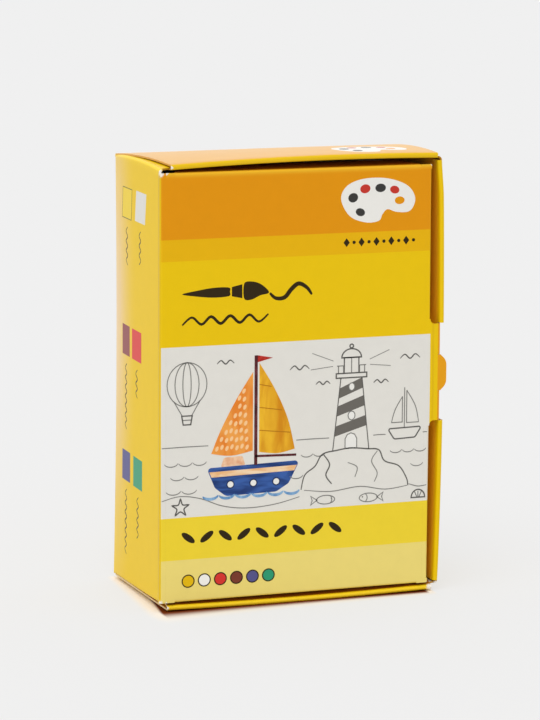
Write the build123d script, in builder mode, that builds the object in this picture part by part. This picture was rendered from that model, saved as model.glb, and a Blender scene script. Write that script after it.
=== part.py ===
import os

from build123d import *

os.makedirs("parts", exist_ok=True)

# Millimetres. The box stands on its lower end wall: +X is the latch side, +Y the back
# and +Z the upper end wall. The origin is under the middle of the carton, on the ground.

# Carton board and how it folds
board = 0.45
fold_radius = 0.8
crease_gap = 0.08
layer_gap = 0.05

# Screw cap; its axis runs along Y, with the cap towards the lid
cap_diameter = 35.5
cap_height = 11.0
cap_top = 1.4
cap_dish_depth = 0.5
cap_dish_margin = 2.6
cap_edge_radius = 1.3
skirt_wall = 1.6
flute_count = 36
flute_width = 1.8
flute_depth = 0.45
liner_thickness = 0.8
liner_gap = 0.2

# Jar
jar_height = 36.0
jar_wall = 1.3
jar_draft = 0.6
cap_overhang = 0.45
shoulder_rise = 1.2
floor_thickness = 1.6
foot_recess = 0.6
foot_ring = 3.0
foot_radius = 1.0
well_radius = 1.4
rim_gap = 0.1
thread_gap = 0.25
skirt_gap = 0.3
headroom = 3.5

# Jars in the tray, each column listed from the ground up, the hinge side first
jar_colours = [["violet", "brown", "yellow"], ["green", "red", "white"]]
jar_gap = 0.3
stack_gap = 0.4
hinge_side_gap = 0.5
flap_side_gap = 0.8
seat_gap = 0.3
spare_height = 2.5
cap_to_lid = 3.1

# Lid with its lock lug and pull tab
latch_gap = 2.15
lid_end_gap = 1.15
lug_reach = 2.8
lug_lip = 1.6
lug_clearance = 0.35
lug_corner = 1.2
tab_length = 9.2
tab_reach = 2.2
tab_slant = 1.9
tab_corner = 1.0

# Flaps of the lid
tuck_depth = 12.0
tuck_inset = 1.2
tuck_corner = 6.0
lug_relief = 1.4
dust_depth = 12.0
dust_hinge_inset = 4.0
dust_latch_inset = 3.0
dust_hinge_slant = 7.0
dust_latch_slant = 2.0
dust_corner = 3.0

# Double walls, corner flaps and lock tabs
notch_length = 25.8
notch_depth = 6.5
notch_corner = 1.8
notch_rise = 0.6
wall_side_gap = 0.3
wall_taper_hinge = 2.7
wall_taper_latch = 0.7
lock_tab_width = 12.0
lock_tab_gap = 0.15
end_tab_spacing = 38.0
latch_tab_spacing = 76.0
corner_flap_length = 16.0
corner_flap_slant = 3.0
corner_flap_radius = 2.0
corner_flap_gap = 0.6

# Sizes that follow: the carton is made to measure around its jars
roll = 3 * board
roll_radius = roll / 2
columns = len(jar_colours)
rows = len(jar_colours[0])
pitch_x = cap_diameter + jar_gap
pitch_z = cap_diameter + stack_gap
jars_width = cap_diameter + (columns - 1) * pitch_x
jars_height = cap_diameter + (rows - 1) * pitch_z
box_width = board + hinge_side_gap + jars_width + flap_side_gap + board + latch_gap + roll
box_depth = board + jar_height + cap_to_lid + board
lid_bottom = roll + lid_end_gap
first_jar_bottom = lid_bottom + board + seat_gap
lid_top = first_jar_bottom + jars_height + spare_height + board
box_height = lid_top + lid_end_gap + roll

# Places that follow
left = -box_width / 2
right = box_width / 2
front = -box_depth / 2
back = box_depth / 2
middle = box_height / 2
half_way = Plane.XY.offset(middle)
lid_edge = right - roll - latch_gap
crease_left = left + board / 2
crease_right = lid_edge - board / 2
crease_front = front + board / 2
hinge_wall_front = front + board + crease_gap
flap_level = box_height - board
fold_start = flap_level - fold_radius


# Section planes: local X runs from the front to the back, local Y from the outer face inwards
upper_section = Plane(origin=(0, front, box_height), x_dir=(0, 1, 0), z_dir=(-1, 0, 0))
latch_section = Plane(origin=(right, front, 0), x_dir=(0, 1, 0), z_dir=(0, 0, 1))
hinge_section = Plane(origin=(left, front, 0), x_dir=(0, 1, 0), z_dir=(0, 0, -1))

# Upright planes that face the front: inside the lid, at the folds and at the back
lid_inside = Plane(origin=(0, front + board, 0), x_dir=(1, 0, 0), z_dir=(0, -1, 0))
fold_end = Plane(origin=(0, back - fold_radius, 0), x_dir=(1, 0, 0), z_dir=(0, -1, 0))
back_face = Plane(origin=(0, back, 0), x_dir=(1, 0, 0), z_dir=(0, -1, 0))


# Double wall in section: outer layer, fold into the back panel, rolled edge, inner layer
def rolled_section(plane):
    outer_end = box_depth - fold_radius
    inner_end = box_depth - board - lock_tab_gap
    with BuildSketch(plane) as section:
        with BuildLine():
            Line((roll_radius, 0), (outer_end, 0))
            RadiusArc((outer_end, 0), (box_depth, fold_radius), -fold_radius)
            Line((box_depth, fold_radius), (box_depth - board, fold_radius))
            RadiusArc((box_depth - board, fold_radius), (outer_end, board), fold_radius - board)
            Line((outer_end, board), (roll_radius, board))
            ThreePointArc((roll_radius, board), (board, roll_radius), (roll_radius, roll - board))
            Line((roll_radius, roll - board), (inner_end, roll - board))
            Line((inner_end, roll - board), (inner_end, roll))
            Line((inner_end, roll), (roll_radius, roll))
            ThreePointArc((roll_radius, roll), (0, roll_radius), (roll_radius, 0))
        make_face()
    return section.sketch


# Single wall in plan, from its front edge to the fold into the back panel
def single_section(plane, front_edge):
    wall_end = box_depth - fold_radius
    with BuildSketch(plane) as section:
        with BuildLine():
            Line((front_edge, 0), (wall_end, 0))
            RadiusArc((wall_end, 0), (box_depth, fold_radius), -fold_radius)
            Line((box_depth, fold_radius), (box_depth - board, fold_radius))
            RadiusArc((box_depth - board, fold_radius), (wall_end, board), fold_radius - board)
            Line((wall_end, board), (front_edge, board))
            Line((front_edge, board), (front_edge, 0))
        make_face()
    return section.sketch


# Quarter ring where a side wall turns into its upper corner flap; inward is 1 or -1
def corner_fold_section(wall_x, inward):
    flap_x = wall_x + inward * fold_radius
    inner_x = wall_x + inward * board
    inner_radius = inward * (fold_radius - board)
    with BuildSketch(fold_end) as section:
        with BuildLine():
            RadiusArc((wall_x, fold_start), (flap_x, flap_level), inward * fold_radius)
            Line((flap_x, flap_level), (flap_x, flap_level - board))
            RadiusArc((flap_x, flap_level - board), (inner_x, fold_start), -inner_radius)
            Line((inner_x, fold_start), (wall_x, fold_start))
        make_face()
    return section.sketch


# Flat outline with its own radius at each corner
def rounded_outline(plane, points, radii):
    with BuildSketch(plane) as outline:
        with BuildLine():
            FilletPolyline(*points, radius=radii, close=True)
        make_face()
    return outline.sketch


# Rounded root of a flap: half the board's thickness about its crease
def crease_root(plane):
    with BuildSketch(plane) as root:
        Circle(board / 2)
    return root.sketch


def save(piece, name):
    piece.label = name
    export_step(piece, f"parts/{name}.step")


# Back panel, notched along its edges for the lock tabs
slot_width = lock_tab_width + 2 * lock_tab_gap
slot_depth = roll + lock_tab_gap - fold_radius
with BuildPart() as back_panel:
    with BuildSketch(back_face):
        with Locations((0, middle)):
            Rectangle(box_width - 2 * fold_radius, box_height - 2 * fold_radius)
            with GridLocations(end_tab_spacing, box_height - 2 * fold_radius - slot_depth, 2, 2):
                Rectangle(slot_width, slot_depth, mode=Mode.SUBTRACT)
        with Locations((right - fold_radius - slot_depth / 2, middle)):
            with GridLocations(0, latch_tab_spacing, 1, 2):
                Rectangle(slot_depth, slot_width, mode=Mode.SUBTRACT)
    extrude(amount=board)
save(back_panel.part, "back_panel")


# Hinge wall: one layer, folded at the back and towards both corner flaps
fold_bottom = box_height - fold_start
with BuildPart() as hinge_wall:
    panel = single_section(hinge_section.offset(-fold_start), hinge_wall_front - front)
    extrude(panel, amount=fold_start - fold_bottom)
    extrude(corner_fold_section(left, 1), amount=fold_end.origin.Y - hinge_wall_front)
    mirror(about=half_way)
save(hinge_wall.part, "hinge_wall")


# Latch wall: double, with a finger notch in its rolled edge and two lock tabs
roll_bottom = roll + layer_gap
notch_middle = middle + notch_rise
notch_low = notch_middle - notch_length / 2
notch_high = notch_middle + notch_length / 2
notch_end = front + notch_depth
notch_mouth = front - roll
notch_points = [
    (notch_mouth, notch_low),
    (notch_end, notch_low),
    (notch_end, notch_high),
    (notch_mouth, notch_high),
]
with BuildPart() as latch_wall:
    double_panel = rolled_section(latch_section.offset(roll_bottom))
    extrude(double_panel, amount=box_height - 2 * roll_bottom)
    outer_panel = single_section(latch_section.offset(fold_bottom), roll_radius)
    extrude(outer_panel, amount=fold_start - fold_bottom)
    extrude(corner_fold_section(right, -1), amount=fold_end.origin.Y - front - roll_radius)
    mirror(about=half_way)
    with BuildSketch(back_face):
        with Locations((right - roll + board / 2, middle)):
            with GridLocations(0, latch_tab_spacing, 1, 2):
                Rectangle(board, lock_tab_width)
    extrude(amount=board + lock_tab_gap)
    notch = rounded_outline(Plane.YZ.offset(right), notch_points, [0, notch_corner, notch_corner, 0])
    extrude(notch, amount=2 * roll, both=True, mode=Mode.SUBTRACT)
save(latch_wall.part, "latch_wall")


# End walls: double, narrowing towards the rolled edge, with two lock tabs each
wall_back_left = left + wall_side_gap
wall_back_right = right - wall_side_gap
wall_plan = [
    (wall_back_left + wall_taper_hinge, front),
    (wall_back_left, back),
    (wall_back_right, back),
    (wall_back_right - wall_taper_latch, front),
]
inner_trim = fold_radius + layer_gap
with BuildPart() as top_end_wall:
    extrude(rolled_section(upper_section), amount=box_width / 2, both=True)
    plan = rounded_outline(half_way, wall_plan, [0, 0, 0, 0])
    extrude(plan, amount=box_height, mode=Mode.INTERSECT)
    with BuildSketch(Plane.XY.offset(flap_level)):
        with GridLocations(box_width - inner_trim, 0, 2, 1):
            Rectangle(inner_trim, box_depth)
    extrude(amount=-roll, mode=Mode.SUBTRACT)
    with BuildSketch(back_face):
        with Locations((0, box_height - roll + board / 2)):
            with GridLocations(end_tab_spacing, 0, 2, 1):
                Rectangle(lock_tab_width, board)
    extrude(amount=board + lock_tab_gap)
save(top_end_wall.part, "top_end_wall")

with BuildPart() as bottom_end_wall:
    mirror(top_end_wall.part, about=half_way)
save(bottom_end_wall.part, "bottom_end_wall")


# Corner flaps, held between the two layers of the end walls
flap_front = front + roll_radius + corner_flap_gap
flap_back = back - fold_radius - corner_flap_gap
for side, root_x, inward in [("hinge", left + fold_radius, 1), ("latch", right - fold_radius, -1)]:
    tip_x = root_x + inward * corner_flap_length
    flap_points = [
        (root_x, flap_front),
        (tip_x, flap_front + corner_flap_slant),
        (tip_x, flap_back - corner_flap_slant),
        (root_x, flap_back),
    ]
    flap_radii = [0, corner_flap_radius, corner_flap_radius, 0]
    for end, level in [("upper", flap_level - board), ("lower", box_height - flap_level)]:
        with BuildPart() as corner_flap:
            extrude(rounded_outline(Plane.XY.offset(level), flap_points, flap_radii), amount=board)
        save(corner_flap.part, f"{side}_{end}_corner_flap")


# Lid: flat panel with a lock lug in the notch, two turned-down lips and a pull tab
panel_edge = lid_edge - board - crease_gap
panel_low = lid_bottom + board + crease_gap
panel_high = lid_top - board - crease_gap
lug_low = notch_low + lug_clearance
lug_high = notch_high - lug_clearance
lug_end = lid_edge + lug_reach
lug_bend = lug_end - fold_radius
tab_low = notch_middle - tab_length / 2
tab_high = notch_middle + tab_length / 2
tab_tip = lug_end + tab_reach
lid_points = [
    (crease_left, panel_low),
    (panel_edge, panel_low),
    (panel_edge, lug_low),
    (lug_bend, lug_low),
    (lug_bend, tab_low),
    (lug_end, tab_low),
    (tab_tip, tab_low + tab_slant),
    (tab_tip, tab_high - tab_slant),
    (lug_end, tab_high),
    (lug_bend, tab_high),
    (lug_bend, lug_high),
    (panel_edge, lug_high),
    (panel_edge, panel_high),
    (crease_left, panel_high),
]
lid_radii = [0, 0, lug_corner, 0, 0, 0, tab_corner, tab_corner, 0, 0, 0, lug_corner, 0, 0]
lip_depth = front + lug_lip
lip_length = lug_high - tab_high - lug_corner / 2
with BuildPart() as lid_panel:
    extrude(rounded_outline(lid_inside, lid_points, lid_radii), amount=board)
    hinge_root = Plane(origin=(crease_left, crease_front, panel_low))
    extrude(crease_root(hinge_root), amount=panel_high - panel_low)
    for lip_low in [lug_low, lug_high - lip_length]:
        with BuildSketch(Plane.XY.offset(lip_low)):
            with BuildLine():
                RadiusArc((lug_bend, front), (lug_end, front + fold_radius), -fold_radius)
                Line((lug_end, front + fold_radius), (lug_end, lip_depth))
                Line((lug_end, lip_depth), (lug_end - board, lip_depth))
                Line((lug_end - board, lip_depth), (lug_end - board, front + fold_radius))
                inner_start = (lug_end - board, front + fold_radius)
                RadiusArc(inner_start, (lug_bend, front + board), fold_radius - board)
                Line((lug_bend, front + board), (lug_bend, front))
            make_face()
        extrude(amount=lip_length)
save(lid_panel.part, "lid_panel")


# Tuck flap: stands inside the latch wall and is cut back where it passes the lug
tuck_low = lid_bottom + tuck_inset
tuck_high = lid_top - tuck_inset
tuck_tip = front + tuck_depth
relief_end = front + lug_relief
relief_low = lug_low - lug_corner - lug_clearance
relief_high = lug_high + lug_corner + lug_clearance
tuck_points = [
    (crease_front, tuck_low),
    (tuck_tip, tuck_low),
    (tuck_tip, tuck_high),
    (crease_front, tuck_high),
    (crease_front, relief_high),
    (relief_end, relief_high),
    (relief_end, relief_low),
    (crease_front, relief_low),
]
tuck_radii = [0, tuck_corner, tuck_corner, 0, 0, 0, 0, 0]
with BuildPart() as tuck_flap:
    extrude(rounded_outline(Plane.YZ.offset(lid_edge - board), tuck_points, tuck_radii), amount=board)
    for root_low, root_high in [(tuck_low, relief_low), (relief_high, tuck_high)]:
        tuck_root = Plane(origin=(crease_right, crease_front, root_low))
        extrude(crease_root(tuck_root), amount=root_high - root_low)
save(tuck_flap.part, "tuck_flap")


# Dust flaps: turned down from the lid's two ends, slanted so that they swing clear
dust_left = left + dust_hinge_inset
dust_right = lid_edge - dust_latch_inset
dust_tip = front + dust_depth
dust_points = [
    (dust_left, crease_front),
    (dust_right, crease_front),
    (dust_right - dust_latch_slant, dust_tip),
    (dust_left + dust_hinge_slant, dust_tip),
]
dust_root = Plane(origin=(dust_left, crease_front, lid_top - board / 2), x_dir=(0, 1, 0), z_dir=(1, 0, 0))
with BuildPart() as top_dust_flap:
    dust_plane = Plane.XY.offset(lid_top - board)
    extrude(rounded_outline(dust_plane, dust_points, [0, 0, dust_corner, dust_corner]), amount=board)
    extrude(crease_root(dust_root), amount=dust_right - dust_left)
save(top_dust_flap.part, "top_dust_flap")

with BuildPart() as bottom_dust_flap:
    mirror(top_dust_flap.part, about=half_way)
save(bottom_dust_flap.part, "bottom_dust_flap")


# Jar and cap sizes that follow; heights are measured from the jar's foot
cap_radius = cap_diameter / 2
skirt_inside = cap_radius - skirt_wall
skirt_low = jar_height - cap_height
cap_underside = jar_height - cap_top
liner_low = cap_underside - liner_thickness
rim = liner_low - rim_gap
shoulder = skirt_low - skirt_gap
shoulder_low = shoulder - shoulder_rise
body_radius = cap_radius - cap_overhang
foot_outside = body_radius - jar_draft
neck_radius = skirt_inside - thread_gap
mouth_radius = neck_radius - jar_wall
paint_level = rim - headroom


# Jar's well up to a given height: local X is the radius, local Y the height
def well_section(seat, level):
    points = [
        (0, floor_thickness),
        (foot_outside - jar_wall, floor_thickness),
        (body_radius - jar_wall, shoulder_low),
        (mouth_radius, shoulder),
        (mouth_radius, level),
        (0, level),
    ]
    return rounded_outline(seat, points, [0, well_radius, 0, 0, 0, 0])


def make_jar(seat):
    axis = Axis(seat.origin, seat.y_dir)
    ring_inside = foot_outside - foot_ring
    points = [
        (0, foot_recess),
        (ring_inside, foot_recess),
        (ring_inside, 0),
        (foot_outside, 0),
        (body_radius, shoulder_low),
        (neck_radius, shoulder),
        (neck_radius, rim),
        (0, rim),
    ]
    radii = [0, 0, 0, foot_radius, 0, 0, 0, 0]
    with BuildPart() as jar:
        revolve(rounded_outline(seat, points, radii), axis=axis)
        revolve(well_section(seat, rim), axis=axis, mode=Mode.SUBTRACT)
    return jar.part


def make_paint(seat):
    with BuildPart() as paint:
        revolve(well_section(seat, paint_level), axis=Axis(seat.origin, seat.y_dir))
    return paint.part


def make_liner(seat):
    with BuildPart() as liner:
        with BuildSketch(Plane(seat.from_local_coords((0, liner_low, 0)), x_dir=(1, 0, 0), z_dir=seat.y_dir)):
            Circle(skirt_inside - liner_gap)
        extrude(amount=liner_thickness)
    return liner.part


# Screw cap: dished top, rounded edge and V-shaped grip flutes up the skirt
def make_cap(seat):
    dish_radius = cap_radius - cap_dish_margin
    flute_points = [
        (-flute_depth, 0),
        (flute_depth, flute_width / 2),
        (flute_depth, -flute_width / 2),
    ]
    points = [
        (0, cap_underside),
        (skirt_inside, cap_underside),
        (skirt_inside, skirt_low),
        (cap_radius, skirt_low),
        (cap_radius, jar_height),
        (dish_radius, jar_height),
        (dish_radius - cap_dish_depth, jar_height - cap_dish_depth),
        (0, jar_height - cap_dish_depth),
    ]
    radii = [0, 0, 0, 0, cap_edge_radius, 0, 0, 0]
    skirt_end = Plane(seat.from_local_coords((0, skirt_low, 0)), x_dir=(1, 0, 0), z_dir=seat.y_dir)
    with BuildPart() as cap:
        revolve(rounded_outline(seat, points, radii), axis=Axis(seat.origin, seat.y_dir))
        with BuildSketch(skirt_end):
            with PolarLocations(cap_radius, flute_count):
                Polygon(*flute_points, align=None)
        extrude(amount=cap_height - cap_edge_radius, mode=Mode.SUBTRACT)
    return cap.part


# Six jars in two columns, standing on the back panel
for column, colours in enumerate(jar_colours):
    jar_x = left + board + hinge_side_gap + cap_radius + column * pitch_x
    for row, colour in enumerate(colours):
        jar_z = first_jar_bottom + cap_radius + row * pitch_z
        jar_seat = Plane(origin=(jar_x, back - board, jar_z), x_dir=(1, 0, 0), z_dir=(0, 0, -1))
        save(make_jar(jar_seat), f"{colour}_jar")
        save(make_paint(jar_seat), f"{colour}_paint")
        save(make_liner(jar_seat), f"{colour}_liner")
        save(make_cap(jar_seat), f"{colour}_cap")
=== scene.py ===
# Gouache paint box: the carton's printed and sprung board, its artwork and the six jars inside
import math
import bmesh
import bpy
from mathutils import Matrix, Vector


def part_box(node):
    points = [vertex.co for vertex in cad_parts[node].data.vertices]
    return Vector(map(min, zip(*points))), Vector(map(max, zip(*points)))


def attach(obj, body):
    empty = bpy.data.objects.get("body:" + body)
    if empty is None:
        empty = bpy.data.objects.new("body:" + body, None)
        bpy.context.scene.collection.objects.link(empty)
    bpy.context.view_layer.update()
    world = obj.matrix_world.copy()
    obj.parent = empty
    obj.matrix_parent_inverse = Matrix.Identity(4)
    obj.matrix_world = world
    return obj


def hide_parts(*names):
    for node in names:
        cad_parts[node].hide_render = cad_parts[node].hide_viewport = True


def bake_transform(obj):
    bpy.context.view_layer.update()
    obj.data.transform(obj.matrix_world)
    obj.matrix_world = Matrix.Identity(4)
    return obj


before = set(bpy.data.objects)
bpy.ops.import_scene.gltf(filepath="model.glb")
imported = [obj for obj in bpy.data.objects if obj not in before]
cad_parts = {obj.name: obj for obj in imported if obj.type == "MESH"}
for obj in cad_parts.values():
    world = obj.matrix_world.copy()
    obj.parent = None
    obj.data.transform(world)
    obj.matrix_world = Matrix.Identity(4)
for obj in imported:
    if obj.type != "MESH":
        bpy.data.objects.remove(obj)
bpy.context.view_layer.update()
print("frame loaded with", len(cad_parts), "nodes")

# Sizes are in millimetres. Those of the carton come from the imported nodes.
mm = 0.001


def boxOf(node):
    low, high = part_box(node)
    return low / mm, high / mm


hingeLow, hingeHigh = boxOf("hinge_wall")
latchHigh = boxOf("latch_wall")[1]
backLow, backHigh = boxOf("back_panel")
endLow, endHigh = boxOf("top_end_wall")
lidLow, lidHigh = boxOf("lid_panel")
tuckHigh = boxOf("tuck_flap")[1]
dustLow, dustHigh = boxOf("top_dust_flap")
left = hingeLow.x
right = latchHigh.x
front = endLow.y
back = backHigh.y
top = endHigh.z
depth = back - front
board = backHigh.y - backLow.y
roll = 3 * board
rollRadius = roll / 2
lidEdge = tuckHigh.x
lidTop = dustHigh.z
lidBottom = top - lidTop
flapLevel = hingeHigh.z

# How the board is folded: outer radius of the carton's folds and of the lid's, how far a fold's own
# strip reaches along both of its sides, how finely a fold and a rolled edge are cut, and over what
# width and how strongly a painted highlight lightens the print along a fold of the carton
fold = {
    "radius": 0.8, "lidRadius": 0.6, "reach": 1.6, "steps": 8, "rollStep": 0.18,
    "highlightOver": 1.0, "highlight": 0.5,
}
foldTurn = fold["radius"] * math.pi / 2
foldDepth = depth - fold["radius"]
rollStart = foldDepth - rollRadius
rollEnd = rollStart + math.pi * rollRadius

# How far each wall springs away from its drawing. The end walls open towards the front and arch,
# the latch wall bows outwards at the front, the hinge wall inwards at the back
spring = {
    "topPeak": 0.74, "topPeakAt": 11.4, "topFall": 42.2,  # front edge of the upper end wall, along X
    "topBackDrop": 1.75, "topArch": 0.85, "lowEnds": 0.5, "lowHeel": 0.75,
    "latchPeak": 0.9, "latchPeakAt": 55.0, "latchFallUp": 2.4e-4, "latchFallDown": 2.7e-4,
    "latchFade": 1.5, "latchPull": 0.5, "latchPullFrom": 104.0,
    "hingeBow": 0.5, "hingeLean": (-0.5, 0.2), "backBowOver": 6.0,
    "hingeTop": (114.5, 114.15, 0.7), "hingeLow": (2.6, 1.3, -0.25),  # heights, as between() takes them
    "latchTop": (115.4, 114.2, 0.3), "latchLow": (1.9, 1.25, 0.0), "settle": 8.0,
    "lidWiden": (0.12, 0.32), "lidWidenOver": 70.0,
}


def smooth(value):
    value = min(1.0, max(0.0, value))
    return value * value * (3 - 2 * value)


# Value at the front, at the back, and how far it arches half way
def between(values, deep):
    share = deep / depth
    return values[0] + (values[1] - values[0]) * share + values[2] * 4 * share * (1 - share)


def topLift(x, deep):
    share = min(1.0, max(0.0, deep / depth))
    frontLift = spring["topPeak"] - ((x - spring["topPeakAt"]) / spring["topFall"]) ** 2
    arch = spring["topArch"] * 4 * share * (1 - share)
    return (1 - share) * frontLift - share * spring["topBackDrop"] + arch


def lowLift(x, deep):
    share = min(1.0, max(0.0, deep / depth))
    return (1 - share) * spring["lowEnds"] * (2 * x / (right - left)) ** 2 + share * spring["lowHeel"]


def latchBulge(z, deep):
    share = min(1.0, max(0.0, deep / depth))
    fall = spring["latchFallUp"] if z > spring["latchPeakAt"] else spring["latchFallDown"]
    pull = spring["latchPull"] * smooth((z - spring["latchPullFrom"]) / (top - spring["latchPullFrom"]))
    bulge = spring["latchPeak"] - pull - fall * (z - spring["latchPeakAt"]) ** 2
    return bulge * (1 - share) ** spring["latchFade"]


def hingeBow(z, deep):
    share = min(1.0, max(0.0, deep / depth))
    height = min(1.0, max(0.0, z / top))
    lean = spring["hingeLean"][0] + (spring["hingeLean"][1] - spring["hingeLean"][0]) * height
    return (spring["hingeBow"] * math.sin(math.pi * height) + lean) * share ** 2


# Where a side wall's height ends: the drawing's height, moved near its two ends
def settled(height, deep, topEnds, lowEnds):
    rise = smooth((height - (flapLevel - fold["radius"] - spring["settle"])) / spring["settle"])
    sink = smooth(((top - flapLevel) + fold["radius"] + spring["settle"] - height) / spring["settle"])
    topShift = between(topEnds, deep) - flapLevel
    lowShift = between(lowEnds, deep) - (top - flapLevel)
    return height + topShift * rise + lowShift * sink


# Way along a rolled wall, 0 where its outer layer leaves the back fold. Gives the depth from the
# front, the distance below the outer face, and the direction inwards
def rolledPath(path):
    if path < 0:
        angle = min(-path / fold["radius"], math.pi / 2)
        deep = foldDepth + fold["radius"] * math.sin(angle)
        return deep, fold["radius"] * (1 - math.cos(angle)), (-math.sin(angle), math.cos(angle))
    if path <= rollStart:
        return foldDepth - path, 0.0, (0.0, 1.0)
    if path < rollEnd:
        angle = (path - rollStart) / rollRadius
        deep = rollRadius * (1 - math.sin(angle))
        return deep, rollRadius * (1 - math.cos(angle)), (math.sin(angle), math.cos(angle))
    return rollRadius + path - rollEnd, roll, (0.0, -1.0)


# Where a corner flap lies between the layers of an end wall: down at its fold, up at its tip.
# spare is the gap between the fold's level and the outer layer, and the inner layer follows it behind
# the rolled edge
flapReach = {"top": 7.0, "low": 5.0, "behindRoll": 2.5}


def flapSink(x, end):
    side = (x - left) if x < 0 else (right - x)
    return 1 - smooth((side - fold["radius"]) / flapReach[end])


def topSpare(x, deep):
    foldTop = between(spring["hingeTop"] if x < 0 else spring["latchTop"], deep)
    return max(0.0, (top + topLift(x, deep) - board - foldTop) * flapSink(x, "top"))


def lowSpare(x, deep):
    foldLow = between(spring["hingeLow"] if x < 0 else spring["latchLow"], deep)
    return max(0.0, (foldLow - lowLift(x, deep) - board) * flapSink(x, "low"))


def behindRoll(deep):
    return smooth((deep - rollRadius) / flapReach["behindRoll"])


# Places: each turns a point of a flat sheet, and its distance inwards, into the folded carton's frame
def topPlace(x, path, inward):
    deep, below, way = rolledPath(path)
    spare = topSpare(x, deep) * behindRoll(deep) if path > rollEnd else 0.0
    height = top + topLift(x, deep) - spare - below - inward * way[1]
    return x, front + deep + inward * way[0], height


def lowPlace(x, path, inward):
    deep, below, way = rolledPath(path)
    spare = lowSpare(x, deep) * behindRoll(deep) if path > rollEnd else 0.0
    return x, front + deep + inward * way[0], lowLift(x, deep) + spare + below + inward * way[1]


# Past the ends of a side wall the sheet turns into its corner flaps
def wallEnd(height):
    high = flapLevel - fold["radius"]
    low = top - high
    if low <= height <= high:
        return height, 0.0, 0.0
    past = min(max(height - high, low - height), foldTurn)
    angle = past / fold["radius"]
    edge = high if height > high else low
    return edge, angle, 1.0 if height > high else -1.0


def latchPlace(path, height, inward):
    deep, below, way = rolledPath(path)
    edge, angle, sign = wallEnd(height) if path <= rollStart else (height, 0.0, 0.0)
    under = inward * way[1]
    reach = fold["radius"] - under
    across = fold["radius"] - reach * math.cos(angle) if angle else under
    along = sign * reach * math.sin(angle)
    x = right + latchBulge(height, deep) - below - across
    z = settled(edge, deep, spring["latchTop"], spring["latchLow"]) + along
    return x, front + deep + inward * way[0], z


# Cuts lie on the fold's start to within rounding, so the fold begins a hair behind it
hair = 0.01


def hingePlace(deep, height, inward):
    edge, angle, sign = wallEnd(height)
    if deep > foldDepth + hair:
        turn = min((deep - foldDepth) / fold["radius"], math.pi / 2)
        reach = fold["radius"] - inward
        x = left + hingeBow(edge, depth) + fold["radius"] - reach * math.cos(turn)
        y = front + foldDepth + reach * math.sin(turn)
        return x, y, settled(edge, depth, spring["hingeTop"], spring["hingeLow"]) + height - edge
    x = left + hingeBow(edge, deep) + fold["radius"] - (fold["radius"] - inward) * math.cos(angle)
    z = settled(edge, deep, spring["hingeTop"], spring["hingeLow"])
    return x, front + deep, z + sign * (fold["radius"] - inward) * math.sin(angle)


def backPlace(x, z, inward):
    bow = hingeBow(z, depth) * (1 - smooth((x - left) / spring["backBowOver"]))
    return x + bow, back - inward, z


def topFlapPlace(x, deep, inward):
    return x, front + deep, top + topLift(x, deep) - board - topSpare(x, deep) - inward


def lowFlapPlace(x, deep, inward):
    return x, front + deep, lowLift(x, deep) + board + lowSpare(x, deep) + inward


# How far the lid's right edge stands further out than drawn, more so towards its bottom
def lidWiden(z):
    return spring["lidWiden"][0] + spring["lidWiden"][1] * smooth((top - z) / spring["lidWidenOver"])


def widened(x, z):
    return x + lidWiden(z) * max(0.0, (x - left) / (lidEdge - left))


def lidPlace(x, z, inward):
    return widened(x, z), front + inward, z


# A fold between two flat sides: gives how far a point lies along the first side and the second
def foldPoint(path, inward):
    radius = fold["lidRadius"]
    straight = fold["reach"] - radius
    if path < straight:
        return fold["reach"] - path, inward
    angle = min((path - straight) / radius, math.pi / 2)
    rest = max(0.0, path - straight - radius * math.pi / 2)
    reach = radius - inward
    return radius - reach * math.sin(angle), radius - reach * math.cos(angle) + rest


foldLength = 2 * (fold["reach"] - fold["lidRadius"]) + fold["lidRadius"] * math.pi / 2


def lidCreasePlace(path, z, inward):
    along, across = foldPoint(path, inward)
    return left + across, front + along, z


def tuckCreasePlace(path, z, inward):
    along, across = foldPoint(path, inward)
    return lidEdge + lidWiden(z) - along, front + across, z


def topCreasePlace(x, path, inward):
    along, across = foldPoint(path, inward)
    return widened(x, lidTop), front + across, lidTop - along


def lowCreasePlace(x, path, inward):
    along, across = foldPoint(path, inward)
    return widened(x, lidBottom), front + across, lidBottom + along


def tuckPlace(deep, z, inward):
    return lidEdge + lidWiden(z) - inward, front + deep, z


def topDustPlace(x, deep, inward):
    return widened(x, lidTop), front + deep, lidTop - inward


def lowDustPlace(x, deep, inward):
    return widened(x, lidBottom), front + deep, lidBottom + inward


print("carton's shape ready")


# Values spread evenly between two ends, without the ends
def spread(start, end, step):
    count = max(1, math.ceil(abs(end - start) / step))
    return [start + (end - start) * i / count for i in range(1, count)]


# Outline with its own radius at each corner
def rounded(points, radii, steps=5):
    outline = []
    for i, (point, radius) in enumerate(zip(points, radii)):
        corner = Vector(point)
        if not radius:
            outline.append(corner)
            continue
        towards = (Vector(points[i - 1]) - corner).normalized()
        away = (Vector(points[(i + 1) % len(points)]) - corner).normalized()
        half = towards.angle(away) / 2
        centre = corner + (towards + away).normalized() * radius / math.sin(half)
        first = corner + towards * radius / math.tan(half) - centre
        last = corner + away * radius / math.tan(half) - centre
        start = math.atan2(first.y, first.x)
        turn = (math.atan2(last.y, last.x) - start + math.pi) % (2 * math.pi) - math.pi
        for k in range(steps + 1):
            angle = start + turn * k / steps
            outline.append(centre + Vector((math.cos(angle), math.sin(angle))) * radius)
    return outline


# weld joins the outlines' shared corners, onCut keeps corners that lie on a cut, farOff is the wear far
# from any rubbed corner, and an edge turned by more than sharp degrees stays crisp
cutting = {"weld": 0.002, "onCut": 0.001, "farOff": 9.0, "sharp": 50.0}
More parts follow.
